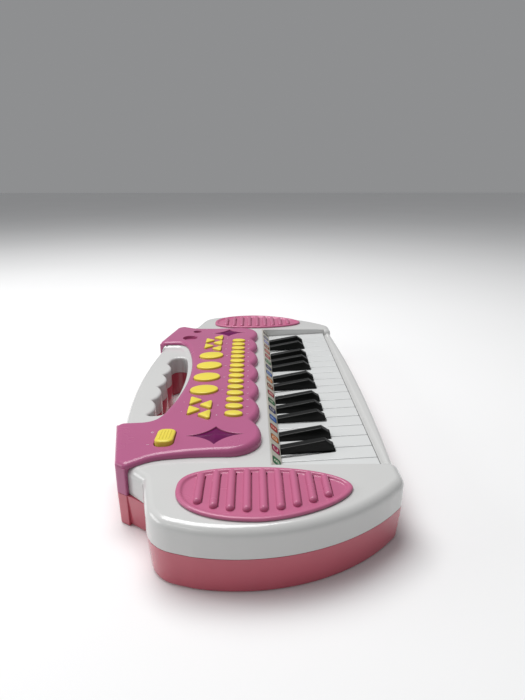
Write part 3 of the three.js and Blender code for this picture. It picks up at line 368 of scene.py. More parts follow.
def skin(loops):
    """Closed solid through loops of equal length, in millimetres, with flat caps on both ends."""
    n = len(loops[0])
    vertices = [p for loop in loops for p in loop]
    faces = [tuple(range(n))[::-1], tuple(range((len(loops) - 1) * n, len(loops) * n))]
    for k in range(len(loops) - 1):
        for i in range(n):
            j = (i + 1) % n
            faces.append((k * n + i, k * n + j, (k + 1) * n + j, (k + 1) * n + i))
    mesh = bpy.data.meshes.new("skin")
    mesh.from_pydata(vertices, [], faces)
    mesh.calc_loop_triangles()
    corners = [[mesh.vertices[i].co for i in t.vertices] for t in mesh.loop_triangles]
    if sum(a.dot(b.cross(c)) for a, b, c in corners) < 0:
        mesh.flip_normals()
    return new_object("skin", mesh)


def stack(points, rings, lift=lambda x, y: 0):
    """Loft of insets of one outline: rings are (z, inset), lowest first; lift bends the heights."""
    return skin([[(x, y, z + lift(x, y)) for x, y in inset(points, d)] for z, d in rings])


def prism(points, z0, z1):
    return stack(points, [(z0, 0), (z1, 0)])


def box(x0, x1, y0, y1, z0, z1):
    return prism([(x0, y0), (x1, y0), (x1, y1), (x0, y1)], z0, z1)


def cylinder(x, y, r, z0, z1, top_r=None, steps=40):
    top_r = r if top_r is None else top_r
    return skin([[(px, py, z0) for px, py in ellipse(x, y, r, r, steps)],
                 [(px, py, z1) for px, py in ellipse(x, y, top_r, top_r, steps)]])


def turned(profile, x, y, steps=48):
    """Solid of revolution about a vertical line, from (radius, z) points; both ends on the axis."""
    loops = []
    for r, z in profile:
        loops.append([(px, py, z) for px, py in ellipse(x, y, max(r, 0.01), max(r, 0.01), steps)])
    return skin(loops)


def along_x(profile, x0, x1):
    """Extrude (y, z) points between two x positions."""
    return skin([[(x0, y, z) for y, z in profile], [(x1, y, z) for y, z in profile]])


def rounding(top, r, base, steps=10):
    rings = [(base, 0)]
    for k in range(steps + 1):
        angle = math.pi / 2 * k / steps
        rings.append((top - r + r * math.sin(angle), r - r * math.cos(angle)))
    return rings


def mirrored(obj):
    copy = new_object("mirror", obj.data.copy())
    copy.data.transform(Matrix.Scale(-1, 4, (1, 0, 0)))
    copy.data.flip_normals()
    return copy


def joined(objects):
    """One mesh from pieces that don't touch each other."""
    objects = [o for o in objects if o is not None]
    vertices, faces = [], []
    for obj in objects:
        base = len(vertices)
        vertices += [tuple(v.co) for v in obj.data.vertices]
        faces += [tuple(base + i for i in p.vertices) for p in obj.data.polygons]
        bpy.data.objects.remove(obj)
    mesh = bpy.data.meshes.new("joined")
    mesh.from_pydata(vertices, [], faces)
    return new_object("joined", mesh)


def combine(base, others, operation):
    for other in others:
        modifier = base.modifiers.new("boolean", "BOOLEAN")
        modifier.object = other
        modifier.operation = operation
        modifier.solver = "MANIFOLD"
    bpy.context.view_layer.update()
    mesh = bpy.data.meshes.new_from_object(base.evaluated_get(bpy.context.evaluated_depsgraph_get()))
    result = new_object("solid", mesh)
    for obj in [base, *others]:
        bpy.data.objects.remove(obj)
    return result


def union(parts):
    return combine(parts[0], parts[1:], "UNION") if len(parts) > 1 else parts[0]


def cut(base, cutters):
    return combine(base, cutters, "DIFFERENCE")


def place(obj, name, material, body="case", nodes=(), smooth=38):
    """Scale a finished solid to metres, shade it and hand it to the frame."""
    mesh = obj.data
    mesh.transform(Matrix.Scale(MM, 4))
    mesh.shade_smooth()
    mesh.set_sharp_from_angle(angle=math.radians(smooth))
    obj.name = name
    mesh.name = name
    mesh.materials.clear()
    mesh.materials.append(material)
    normals = obj.modifiers.new("normals", "WEIGHTED_NORMAL")
    normals.keep_sharp = True
    normals.mode = "FACE_AREA_WITH_ANGLE"
    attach(obj, body)
    if nodes:
        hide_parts(*nodes)
    return obj


# ---- materials ----------------------------------------
class Nodes:
    """Small helper that adds and links the nodes of one material."""

    def __init__(self, name):
        self.material = bpy.data.materials.new(name)
        self.material.use_nodes = True
        self.tree = self.material.node_tree
        self.shader = self.tree.nodes["Principled BSDF"]

    def add(self, kind, **inputs):
        node = self.tree.nodes.new(kind)
        for key, value in inputs.items():
            socket = node.inputs[key.replace("_", " ")]
            if isinstance(value, bpy.types.NodeSocket):
                self.tree.links.new(value, socket)
            else:
                socket.default_value = value
        return node

    def link(self, source, target):
        self.tree.links.new(source, target)

    def noise(self, scale, detail=3, roughness=0.5, stretch=None):
        where = self.add("ShaderNodeTexCoord").outputs["Object"]
        if stretch:
            mapping = self.add("ShaderNodeMapping", Vector=where)
            mapping.inputs["Scale"].default_value = stretch
            where = mapping.outputs["Vector"]
        node = self.add("ShaderNodeTexNoise", Vector=where, Scale=scale, Detail=detail,
                        Roughness=roughness)
        return node.outputs["Fac"]

    def ramp(self, value, low, high, to_low=0.0, to_high=1.0):
        node = self.add("ShaderNodeMapRange", Value=value)
        node.inputs["From Min"].default_value = low
        node.inputs["From Max"].default_value = high
        node.inputs["To Min"].default_value = to_low
        node.inputs["To Max"].default_value = to_high
        return node.outputs["Result"]

    def maths(self, operation, a, b):
        node = self.tree.nodes.new("ShaderNodeMath")
        node.operation = operation
        node.use_clamp = True
        for socket, value in zip(node.inputs, (a, b)):
            if isinstance(value, bpy.types.NodeSocket):
                self.tree.links.new(value, socket)
            else:
                socket.default_value = value
        return node.outputs[0]

    def mix(self, factor, a, b):
        node = self.tree.nodes.new("ShaderNodeMix")
        node.data_type = "RGBA"
        for socket, value in ((node.inputs[0], factor), (node.inputs[6], a), (node.inputs[7], b)):
            if isinstance(value, bpy.types.NodeSocket):
                self.tree.links.new(value, socket)
            else:
                socket.default_value = value
        return node.outputs[2]

    def edge_mask(self, radius):
        """Near 1 on convex and concave edges, 0 on open faces."""
        bevel = self.add("ShaderNodeBevel", Radius=radius)
        bevel.samples = 4
        normal = self.add("ShaderNodeNewGeometry").outputs["Normal"]
        dot = self.tree.nodes.new("ShaderNodeVectorMath")
        dot.operation = "DOT_PRODUCT"
        self.link(bevel.outputs["Normal"], dot.inputs[0])
        self.link(normal, dot.inputs[1])
        return self.ramp(dot.outputs["Value"], 0.93, 0.7)


def shade(colour, factor):
    return (*[min(1, c * factor) for c in colour[:3]], 1)


def plastic(name, colour, rough=0.2, variation=0.05, coat=0.35, grain=0.03, wear=0.2, specular=0.5):
    """Injection-moulded plastic: faint flow marks, handling smudges and softly worn edges."""
    n = Nodes(name)
    flow = n.ramp(n.noise(14, 4, 0.55), 0.3, 0.7)
    speck = n.ramp(n.noise(420, 2), 0.62, 0.75, 0, 0.35)
    base = n.mix(flow, shade(colour, 1 - variation), shade(colour, 1 + variation))
    base = n.mix(n.maths("MULTIPLY", speck, 0.12), base, shade(colour, 0.75))
    worn = n.maths("MULTIPLY", n.edge_mask(0.0007), n.ramp(n.noise(90, 4, 0.6), 0.42, 0.68, 0, wear))
    pale = tuple(min(1, c * 0.6 + 0.35) for c in colour[:3]) + (1,)
    n.link(n.mix(n.maths("MULTIPLY", worn, 0.25), base, pale), n.shader.inputs["Base Color"])
    smudge = n.ramp(n.noise(38, 3, 0.5), 0.3, 0.8, rough * 0.92, rough * 1.12)
    hairline = n.ramp(n.noise(300, 2, 0.5, (1, 0.06, 1)), 0.6, 0.8, 0, 0.012)
    n.link(n.maths("ADD", n.maths("ADD", smudge, hairline), n.maths("MULTIPLY", worn, 0.3)),
           n.shader.inputs["Roughness"])
    bump = n.add("ShaderNodeBump", Strength=grain, Distance=0.0004, Height=n.noise(650, 2))
    peel = n.add("ShaderNodeBump", Strength=grain, Distance=0.002, Height=n.noise(55, 2),
                 Normal=bump.outputs["Normal"])
    n.link(peel.outputs["Normal"], n.shader.inputs["Normal"])
    n.shader.inputs["Coat Weight"].default_value = coat
    n.shader.inputs["Coat Roughness"].default_value = 0.06
    n.shader.inputs["Specular IOR Level"].default_value = specular
    return n.material


def metal(name, colour, rough=0.32):
    n = Nodes(name)
    streaks = n.noise(240, 3, 0.6, (0.05, 1, 1))
    n.link(n.mix(streaks, shade(colour, 0.82), shade(colour, 1.1)), n.shader.inputs["Base Color"])
    n.link(n.ramp(streaks, 0.3, 0.7, rough * 0.8, rough * 1.3), n.shader.inputs["Roughness"])
    n.shader.inputs["Metallic"].default_value = 1
    bump = n.add("ShaderNodeBump", Strength=0.08, Distance=0.0002, Height=streaks)
    n.link(bump.outputs["Normal"], n.shader.inputs["Normal"])
    return n.material


def gem_plastic(name, colour):
    n = Nodes(name)
    depth = n.noise(120, 3)
    n.link(n.mix(depth, shade(colour, 0.7), shade(colour, 1.4)), n.shader.inputs["Base Color"])
    n.link(n.ramp(n.noise(60, 4), 0.3, 0.7, 0.28, 0.4), n.shader.inputs["Roughness"])
    bump = n.add("ShaderNodeBump", Strength=0.04, Distance=0.0006, Height=n.noise(140, 2))
    n.link(bump.outputs["Normal"], n.shader.inputs["Normal"])
    n.shader.inputs["Specular IOR Level"].default_value = 0.12
    return n.material


WHITE = plastic("white_shell", (0.60, 0.60, 0.59), 0.2, 0.02, 0.5)
PINK = plastic("pink_shell", (0.50, 0.085, 0.125), 0.24, 0.05, 0.3, wear=0.05)
MAUVE = plastic("mauve_panel", (0.42, 0.102, 0.225), 0.26, 0.04, 0.15, wear=0.08, specular=0.4)
GRILLE_PINK = plastic("mauve_grille", (0.50, 0.13, 0.245), 0.26, 0.04, 0.15, wear=0.08, specular=0.4)
YELLOW = plastic("yellow_button", (0.76, 0.625, 0.065), 0.32, 0.05, 0.1, specular=0.4)
KEY_WHITE = plastic("white_key", (0.66, 0.67, 0.665), 0.16, 0.015, 0.5)
KEY_BLACK = plastic("black_key", (0.004, 0.0045, 0.004), 0.3, 0.1, 0.06, wear=0.1, specular=0.22)
FILM = plastic("label_film", (0.52, 0.50, 0.43), 0.4, 0.05, 0.1)
GEM = gem_plastic("purple_gem", (0.11, 0.003, 0.065))
LEGEND = plastic("legend_ink", (0.72, 0.62, 0.68), 0.45, 0.04, 0)
STEEL = metal("steel", (0.60, 0.61, 0.62))
BOARD = plastic("circuit_board", (0.03, 0.17, 0.06), 0.4, 0.15, 0.2)
RUBBER = plastic("silicone", (0.20, 0.21, 0.22), 0.6, 0.08, 0)
CONE = plastic("speaker_cone", (0.02, 0.02, 0.022), 0.6, 0.12, 0)


# ---- case ---------------------------------------------
HOLE = hole_outline()
HANDLE = handle_outline()
UPPER_BODY = body_outline([(154.6, 84.2, 7), (100, 96.6), (0, 96.6)])
LOWER_BODY = body_outline([(157, 86.4, 5), (100.6, 99, 5), (99, 92), (0, 92)])
BOSSES = [(side * x, y) for x, y in ((165, 52), (178, -84), (92, 84)) for side in (-1, 1)]
DOOR_SCREW_Y = middle_of("battery_door_screw").y


def lower_skin(extra, z0, top):
    """Solids of the lower case, drafted toward the floor and inset by extra all round."""
    soft = [(z0, 1.8)] if z0 > 1 else [(0, 3.4), (0.25, 2.75), (0.8, 2.25), (2, 1.9)]
    plans = [LOWER_BODY, rim_outline(WELL_FRONT_Y + 16, RIM_REACH), HANDLE]
    return [stack(plan, [*[(z, d + extra) for z, d in soft], (top, extra)]) for plan in plans]


def lower_case():
    top = PARTING_Z - GAP / 2
    post = stack(post_outline(POST_DEPTH), [(0.4, 0.9), (1.2, 0.7), (top, 0)])
    shell = union([*lower_skin(0, 0, top), post, mirrored(post)])
    shell = cut(shell, lower_skin(WALL, WALL, top + 1))
    low, high = DOOR_LOW, DOOR_HIGH
    wall = prism(inset(HOLE, -WALL), 0.8, top)
    bay = box(low.x - 2, high.x + 2, low.y - 2, high.y - 5, 1, 21.5)
    bosses = joined([cylinder(x, y, 4.2, 1, 22) for x, y in BOSSES])
    shell = union([shell, wall, bay, bosses])
    door = box(low.x - GAP, high.x + GAP, low.y - GAP, high.y + GAP - 10.5, -1, 2.3)
    ear = cylinder(0, DOOR_SCREW_Y, 5.2, -1, 2.3)
    room = box(low.x + 3, high.x - 3, low.y + 3, high.y - 13, -1, 19.5)
    flare = [(-1, -1.6), (0, -1.2), (0.5, -0.5), (1.4, 0), (top - 0.5, 0), (top + 1, 0)]
    hole = stack(HOLE, flare)
    screws = joined([turned([(3.6, -1), (3.4, 0), (3.2, 1.2), (3.2, 7), (1.5, 7.2), (1.5, 23)], x, y)
                     for x, y in BOSSES])
    return cut(shell, [union([door, ear, room]), hole, screws])


def front_rim(base):
    """Bowed band in front of the keys: a round outer edge, and a top that falls to the key slot."""
    steps = 48
    slope_y = WELL_FRONT_Y - RIM_SLOPE
    quarter = [math.pi / 2 * k / 8 for k in range(9)]
    fall = [(slope_y + (WELL_FRONT_Y - slope_y) * t, RIM_TOP - RIM_DROP * t * t * (3 - 2 * t))
            for t in [k / 10 for k in range(11)]]
    loops = []
    for k in range(steps + 1):
        x = RIM_REACH * (2 * k / steps - 1)
        front = FRONT_Y + FRONT_BOW * (x / RIM_HALF) ** 2
        soft = min(RIM_EDGE_R, slope_y - front)
        outer = [(front + soft - soft * math.cos(t), RIM_TOP - soft + soft * math.sin(t))
                 for t in quarter]
        section = [(front, base), *outer, *fall, (WELL_FRONT_Y, base)]
        loops.append([(x, y, z) for y, z in section])
    return skin(loops)


def upper_case():
    base = PARTING_Z + GAP / 2
    region = recess_outline()
    dip = stack(region, [(base - 1, 5), (HANDLE_TOP - 0.02, 5), (HANDLE_TOP + 0.15, 3.6),
                         (HANDLE_TOP + 0.7, 2), (CASE_TOP - 0.5, 0.2), (CASE_TOP - 0.1, -0.8),
                         (CASE_TOP + 0.02, -1.8), (SKY, -1.8)])
    main = cut(stack(UPPER_BODY, rounding(CASE_TOP, EDGE_R, base)), [dip])
    rear = stack(HANDLE, rounding(HANDLE_TOP, EDGE_R, base))
    rim = front_rim(base)
    shell = union([main, rear, rim])
    soft = 2.2
    rings = [(base - 1, 0), (HANDLE_TOP - soft, 0)]
    for k in range(1, 7):
        angle = math.pi / 2 * k / 6
        rings.append((HANDLE_TOP - soft + soft * math.sin(angle), -soft * (1 - math.cos(angle))))
    hole = stack(HOLE, [*rings, (HANDLE_TOP + 5, -soft)])
    well = along_x([(WELL_FRONT_Y, base - 1), (WELL_REAR_Y + 2.4, base - 1),
                    (WELL_REAR_Y + 2.4, SLOPE_FOOT_Z - 1), (WELL_REAR_Y, SLOPE_FOOT_Z),
                    (STRIP_REAR_Y - 0.5, CASE_TOP - 0.45), (STRIP_REAR_Y + 0.1, CASE_TOP - 0.1),
                    (STRIP_REAR_Y + 0.9, CASE_TOP + 0.02), (STRIP_REAR_Y + 3, CASE_TOP + 10),
                    (WELL_FRONT_Y, CASE_TOP + 10)], -WELL_HALF, WELL_HALF)
    under_panel = box(-131, 131, 2, 51, base - 1, SKY)
    grilles = joined([prism(grille_outline(side, GRILLE_LAP), base - 1, SKY) for side in (-1, 1)])
    under_switch = box(SWITCH.x - 14.1, SWITCH.x + 14.1, SWITCH.y - 9.3, SWITCH.y + 9.3, base - 1, SKY)
    pockets = joined([cylinder(x, y, r + 2.6, base - 1, SKY) for x, y, r in SOCKETS])
    return cut(shell, [hole, well, under_panel, grilles, under_switch, pockets])


# ---- control panel ------------------------------------
TONE_COUNT, TONE_PITCH, TONE_RX, TONE_RY, TONE_Y = 15, 13.2, 4.3, 7.1, 11.3
TONE_LEAN = math.radians(-13)
TONE_MIDDLE = middle_of("tone_button_row").x
TONE_XS = [TONE_MIDDLE + (k - (TONE_COUNT - 1) / 2) * TONE_PITCH for k in range(TONE_COUNT)]
MODE_RX, MODE_RY = 9.1, 12
MODES = [middle_of(name) for name in numbered("mode_button")]
DOWN_Y, UP_Y = 43.6, 33.2


def row_of(node, count, spacing):
    """X of each button in a row of several that share one moulding."""
    return [middle_of(node).x + (k - (count - 1) / 2) * spacing for k in range(count)]


TRIANGLES = {"bass_down_button_pair": (row_of("bass_down_button_pair", 2, 18), DOWN_Y, -1),
             "bass_up_button_pair": (row_of("bass_up_button_pair", 2, 18), UP_Y, 1),
             "treble_down_button_pair": (row_of("treble_down_button_pair", 2, 19), DOWN_Y, -1),
             "treble_up_button_trio": (row_of("treble_up_button_trio", 3, 19.2), UP_Y, 1)}
SWITCH = Vector(JOINTS["power_switch_rock"]["pos_m"]) / MM
SWITCH_W, SWITCH_D, SWITCH_R, SWITCH_TILT = 23.4, 13, 5, 5
GEM_AT = middle_of("gem_lens_treble")
GEM_HALF = (12.9, 20.7)
SOCKETS = ((112, 67.2, 8), (135.5, 61, 4.6))


def tone_shape(x):
    turn, at = Matrix.Rotation(TONE_LEAN, 2), Vector((x, TONE_Y))
    return [tuple(turn @ Vector(p) + at) for p in ellipse(0, 0, TONE_RX, TONE_RY, 48)]


def mode_shape(at):
    return ellipse(at.x, at.y, MODE_RX, MODE_RY)


def window(points, clear, soft=0.5):
    """Cutter with a softened upper edge that follows the slope of the panel."""
    rings = [(PANEL_TOP - 9, 0), (PANEL_TOP - soft, 0), (PANEL_TOP - soft * 0.4, -soft * 0.12),
             (PANEL_TOP - soft * 0.1, -soft * 0.45), (PANEL_TOP + 0.02, -soft), (PANEL_TOP + 6, -soft)]
    return stack(inset(points, -clear), rings, panel_lift)


def control_panel():
    foot, top = CASE_TOP + GAP, PANEL_TOP
    plan = panel_outline()
    loops = []
    for z, d in [(foot, 0), *rounding(top, PANEL_EDGE_R, top, 10)[1:]]:
        share = (z - foot) / (top - foot)       # none of the slope at the foot, all of it at the top
        loops.append([(x, y, z + share * panel_lift(x, y)) for x, y in inset(plan, d)])
    roof_inset = 2.0                            # with the wall, less than the wing's corner radius
    hollow = stack(inset(plan, PANEL_WALL), [(foot - 3, 0), (top - PANEL_WALL - 2, 0.4),
                                            (top - PANEL_WALL, roof_inset)], panel_lift)
    panel = cut(skin(loops), [hollow])
    base = PARTING_Z + GAP / 2
    around = [stack(inset(plan_of, -GAP), rounding(height + GAP, EDGE_R + GAP, base - 1))
              for plan_of, height in ((UPPER_BODY, CASE_TOP), (HANDLE, HANDLE_TOP))]
    leg = cut(prism(post_outline(LEG_DEPTH), base, foot + GAP), around)
    cups = joined([cylinder(x, y, r + 1.8, 41, 46) for x, y, r in SOCKETS])
    panel = union([panel, leg, mirrored(leg), cups])
    windows = [window(tone_shape(x), 0.35) for x in TONE_XS]
    windows += [window(mode_shape(at), 0.35) for at in MODES]
    windows += [window(star_outline(side * GEM_AT.x, GEM_AT.y, 13.2, 21.1), 0, 0.7) for side in (-1, 1)]
    opening = rounded_box(SWITCH.x, SWITCH.y, SWITCH_W + 1.6, SWITCH_D + 0.9, SWITCH_R + 0.4)
    windows.append(window(opening, 0, 0.8))
    for xs, y, way in TRIANGLES.values():
        windows += [window(triangle(x, y, way), 0.35) for x in xs]
    soft = 0.8
    pockets = []
    for x, y, r in SOCKETS:
        profile = [(r, 44.4), (r, PANEL_TOP - soft), (r + soft * 0.3, PANEL_TOP - soft * 0.3),
                   (r + soft, PANEL_TOP), (r + soft, PANEL_TOP + 5)]
        lift = panel_lift(x, y)
        pockets.append(turned([(a, z + (lift if z > 45 else 0)) for a, z in profile], x, y))
    return cut(panel, [joined(windows), joined(pockets)])


# ---- grilles ------------------------------------------
def capsule(side, x0, x1, y, z, r, steps=20):
    """Rounded rib along x; its ends are half spheres."""
    loops = []
    for k in range(steps + 1):
        t = math.pi * k / steps
        x = (x0 + r - r * math.cos(t)) if k <= steps / 2 else (x1 - r - r * math.cos(t))
        rr = r * max(0.02, math.sin(t))
        loops.append([(side * x, y + side * rr * math.cos(a), z + rr * math.sin(a))
                      for a in [2 * math.pi * i / 24 for i in range(24)]])
    return skin(loops)


def grille(side):
    """Dished pink plate with a rolled rim, nine ribs and a narrow slot beside each rib."""
    foot, plate, rim, rib_z = CASE_TOP + GAP, 44.6, 46.1, 45.3
    rings = [(foot, 0.25), (foot + 0.25, 0.05), (rim - 1.1, 0), (rim - 0.7, 0.12), (rim - 0.35, 0.4),
             (rim - 0.1, 0.85), (rim, 1.5), (rim, 2.2), (rim - 0.12, 2.8), (rim - 0.45, 3.3),
             (rim - 1.0, 3.7), (plate + 0.1, 4.3), (plate, 5), (plate + 0.1, 8), (plate + 0.3, 13),
             (plate + 0.4, 20)]
    flange = skin([[(x, y, z) for x, y in grille_outline(side, d)] for z, d in rings])
    under = grille_outline(side, GRILLE_LAP + GAP)
    plug = prism(under, CASE_TOP - 5, foot + 0.6)
    ribs, slots = [], []
    outline = grille_outline(1)
    rib_r, rib_pitch, rib_count, middle_y = 2.45, 9.66, 9, -9.4
    for k in range(rib_count):
        y = middle_y + (k - (rib_count - 1) / 2) * rib_pitch
        inner, outer = chord_at(outline, y)
        x0, x1 = inner + 3.3, outer - 7.8
        ribs.append(capsule(side, x0, x1, y, rib_z, rib_r))
        ends = sorted((side * (x0 + 1.5), side * (x1 - 1.5)))
        slots.append(box(*ends, y - rib_r - 0.75, y - rib_r - 0.05, plate - 1.6, SKY))
    solid = cut(union([flange, plug]), [joined(slots)])
    return union([solid, joined(ribs)])


# ---- keys ---------------------------------------------
def white_plan(i):
    """Key outline with room for the black keys beside it."""
    x0 = WHITE_XS[i] - (KEY_PITCH - KEY_GAP) / 2
    x1 = WHITE_XS[i] + (KEY_PITCH - KEY_GAP) / 2
    shoulder = BLACK_FRONT_Y - BLACK_CLEARANCE
    half = BLACK_WIDTH / 2 + BLACK_CLEARANCE
    left = [x + half for x in BLACK_XS if 0 < WHITE_XS[i] - x < KEY_PITCH]
    right = [x - half for x in BLACK_XS if 0 < x - WHITE_XS[i] < KEY_PITCH]
    rear = ROD.y
    corners = [(x0, KEY_FRONT_Y, 0.9), (x1, KEY_FRONT_Y, 0.9)]
    if right:
        corners += [(x1, shoulder, 0.7), (right[0], shoulder, 0.5), (right[0], rear, 0.4)]
    else:
        corners += [(x1, rear, 0.4)]
    if left:
        corners += [(left[0], rear, 0.4), (left[0], shoulder, 0.5), (x0, shoulder, 0.7)]
    else:
        corners += [(x0, rear, 0.4)]
    return filleted(corners, 15)


def rod(x0, x1, r, steps=28):
    """Cylinder on the line that the keys turn about."""
    y, z = ROD.y, ROD.z
    return along_x([(y + r * math.cos(2 * math.pi * k / steps), z + r * math.sin(2 * math.pi * k / steps))
                    for k in range(steps)], x0, x1)


def white_key(i):
    plan = white_plan(i)
    top = KEY_FRONT_Z
    rings = [(top - KEY_DECK, 0), (top - 0.7, 0), (top - 0.35, 0.09), (top - 0.1, 0.32), (top, 0.75)]
    deck = stack(plan, rings, lambda x, y: -KEY_SLOPE * (y - KEY_FRONT_Y))
    x0, x1 = min(p[0] for p in plan), max(p[0] for p in plan)
    front = box(x0 + 0.05, x1 - 0.05, KEY_FRONT_Y + 0.25, KEY_FRONT_Y + 2.1, 28.8, top - 2)
    rear_xs = [p[0] for p in plan if p[1] > ROD.y - 1]
    knuckle = rod(min(rear_xs) + 0.05, max(rear_xs) - 0.05, KNUCKLE_R)
    key = union([deck, front, knuckle])
    return cut(key, [rod(WHITE_XS[i] - 20, WHITE_XS[i] + 20, BORE_R)])


def black_key(x):
    """Tapered black key: a ramp at the front, a fall toward the rear and round top corners."""
    rear, foot = WELL_REAR_Y - 0.4, BLACK_FOOT_Z
    rear_top = 39.2
    side = filleted([(BLACK_FRONT_Y, foot), (rear, foot), (rear, rear_top),
                     (-55, BLACK_HIGH.z + 0.05, 1.2), (-60.2, 41.8, 0.5), (-61.1, 41.5, 0.4),
                     (BLACK_FRONT_Y, 40.6, 0.4)], 9)
    crest = sorted({(round(-y, 4), z) for y, z in side[3:]} | {(-rear, rear_top)})
    half, corner_r, lean = BLACK_WIDTH / 2, 0.75, math.tan(math.radians(5))
    arm_half = 3.3
    loops = []
    for minus_y, z in crest:
        narrow = half - 0.35 - (z - foot) * lean
        shoulders = filleted([(half, foot + 1), (narrow, z, corner_r), (-narrow, z, corner_r),
                              (-half, foot + 1)], 15)[1:-1]
        section = [(-half, foot), (half, foot), (half, foot + 1), *shoulders, (-half, foot + 1)]
        loops.append([(x + a, -minus_y, b) for a, b in section])
    body = skin(loops)
    shank_top = key_top_at(rear) - 0.3
    arm = along_x([(rear - 6, 31.2), (ROD.y, 29.6), (ROD.y, shank_top - 2.2), (rear - 1, shank_top)],
                  x - arm_half, x + arm_half)
    key = union([body, arm, rod(x - arm_half, x + arm_half, KNUCKLE_R)])
    return cut(key, [rod(x - 20, x + 20, BORE_R)])


# ---- buttons ------------------------------------------
def button_cap(points, centre, bottom, rise=2.4, dome=0.5):
    """Cap with a rounded edge and a slightly domed top."""
    edge = 0.9
    flat = PANEL_TOP + rise - dome
    rings = [(bottom, 0), (flat - edge, 0)]
    for k in range(1, 6):
        angle = math.pi / 2 * k / 6
        rings.append((flat - edge + edge * math.sin(angle), edge * (1 - math.cos(angle))))
    loops = []
    for z, d in rings:
        lifted = z > bottom
        loops.append([(x, y, z + (panel_lift(x, y) if lifted else 0)) for x, y in inset(points, d)])
    last = inset(points, edge)
    cx, cy = centre
    for k in range(5):
        share = 1 - (k / 5) ** 1.1 * 0.96 if k else 1
        height = flat + dome * (1 - share ** 2)
        loops.append([(cx + (x - cx) * share, cy + (y - cy) * share,
                       height + panel_lift(x, cy + (y - cy) * share)) for x, y in last])
    return skin(loops)


def moulding(shapes, centres, half_runner):
    """Caps of one row joined by a runner under the panel."""
    y = centres[0][1]
    under = panel_top_at(y + half_runner) - PANEL_WALL - GAP
    xs = [c[0] for c in centres]
    runner = box(min(xs) - half_runner, max(xs) + half_runner, y - half_runner, y + half_runner,
                 under - 1.4, under)
    caps = [button_cap(s, c, under - 1.2) for s, c in zip(shapes, centres)]
    return union([runner, joined(caps)])


def power_switch():
    x, y, pivot_z = SWITCH
    top = panel_top_at(y)
    outline = rounded_box(x, y, SWITCH_W, SWITCH_D, SWITCH_R)
    body = stack(outline, [(43.6, 0), (top + 1.0, 0), (top + 1.5, 0.12), (top + 1.9, 0.4),
                           (top + 2.2, 0.9), (top + 2.35, 1.6), (top + 2.4, 2.6)])
    ribs = joined([capsule(1, x - 7.4, x + 7.4, y + k * 2.2, top + 2.3, 0.5)
                   for k in (-1.5, -0.5, 0.5, 1.5)])
    stem = cylinder(x, y, 3, 40.6, 44.4)
    solid = union([body, ribs, stem])
    pivot = Matrix.Translation((x, y, pivot_z))
    turn = Matrix.Rotation(math.radians(SWITCH_TILT), 4, "Y")
    solid.data.transform(pivot @ turn @ pivot.inverted())
    return solid


def gem(side):
    """Four-pointed lens whose facets rise a little to the middle."""
    cx, cy = side * GEM_AT.x, GEM_AT.y
    top = panel_top_at(cy) - 0.35
    outline = star_outline(cx, cy, *GEM_HALF)
    loops = [[(x, y, z) for x, y in outline] for z in (46, top - 0.9)]
    for share, z in ((0.95, top - 0.6), (0.5, top - 0.15), (0.03, top + 0.45)):
        level = z - panel_lift(cx, cy)
        shrunk = [(cx + (x - cx) * share, cy + (y - cy) * share) for x, y in outline]
        loops.append([(x, y, level + panel_lift(x, y)) for x, y in shrunk])
    return skin(loops)


# ---- labels and legends -------------------------------
NOTE_NAMES = "BCDEFGABCDEFGABCDEF"
NOTE_COLOURS = {"green": (0.02, 0.16, 0.06), "magenta": (0.38, 0.012, 0.09),
                "orange": (0.60, 0.16, 0.02), "red": (0.50, 0.03, 0.02),
                "blue": (0.01, 0.11, 0.45), "navy": (0.012, 0.02, 0.13),
                "crimson": (0.42, 0.01, 0.04), "brown": (0.28, 0.06, 0.02), "grey": (0.05, 0.05, 0.06),
                "lavender": (0.20, 0.20, 0.55)}
NOTE_ORDER = ["green", "magenta", "orange", "red", "blue", "navy", "green", "crimson", "brown", "orange",
              "blue", "navy", "green", "crimson", "red", "brown", "lavender", "navy", "grey"]

RUN, RISE = STRIP_REAR_Y - WELL_REAR_Y, CASE_TOP - SLOPE_FOOT_Z
SLOPE_LENGTH = math.hypot(RUN, RISE)
SLOPE_UP = Vector((0, RUN, RISE)) / SLOPE_LENGTH
SLOPE_OUT = Vector((0, -RISE, RUN)) / SLOPE_LENGTH


def on_slope(x, up, out):
    """Point on the sloping strip: up along the slope from its foot, out from its face."""
    return Vector((x, WELL_REAR_Y, SLOPE_FOOT_Z)) + SLOPE_UP * up + SLOPE_OUT * out


def slope_tile(points, out0, out1, soft=0.0):
    rings = [(out0, 0), (out1 - soft, 0), (out1, soft)] if soft else [(out0, 0), (out1, 0)]
    return skin([[tuple(on_slope(x, u, out)) for x, u in inset(points, d)] for out, d in rings])


def lettering(text, size, thick):
    """Flat extruded text centred on the origin, in millimetres."""
    curve = bpy.data.curves.new("text", "FONT")
    curve.body = text
    curve.size = size
    curve.align_x = "CENTER"
    curve.align_y = "CENTER"
    curve.extrude = thick / 2
    curve.resolution_u = 3
    source = new_object("text", curve)
    bpy.context.view_layer.update()
    mesh = bpy.data.meshes.new_from_object(source.evaluated_get(bpy.context.evaluated_depsgraph_get()))
    bpy.data.objects.remove(source)
    return new_object("letters", mesh)


def put(obj, right, up, out, at):
    basis = Matrix((right, up, out)).transposed().to_4x4()
    obj.data.transform(Matrix.Translation(at) @ basis)
    return obj


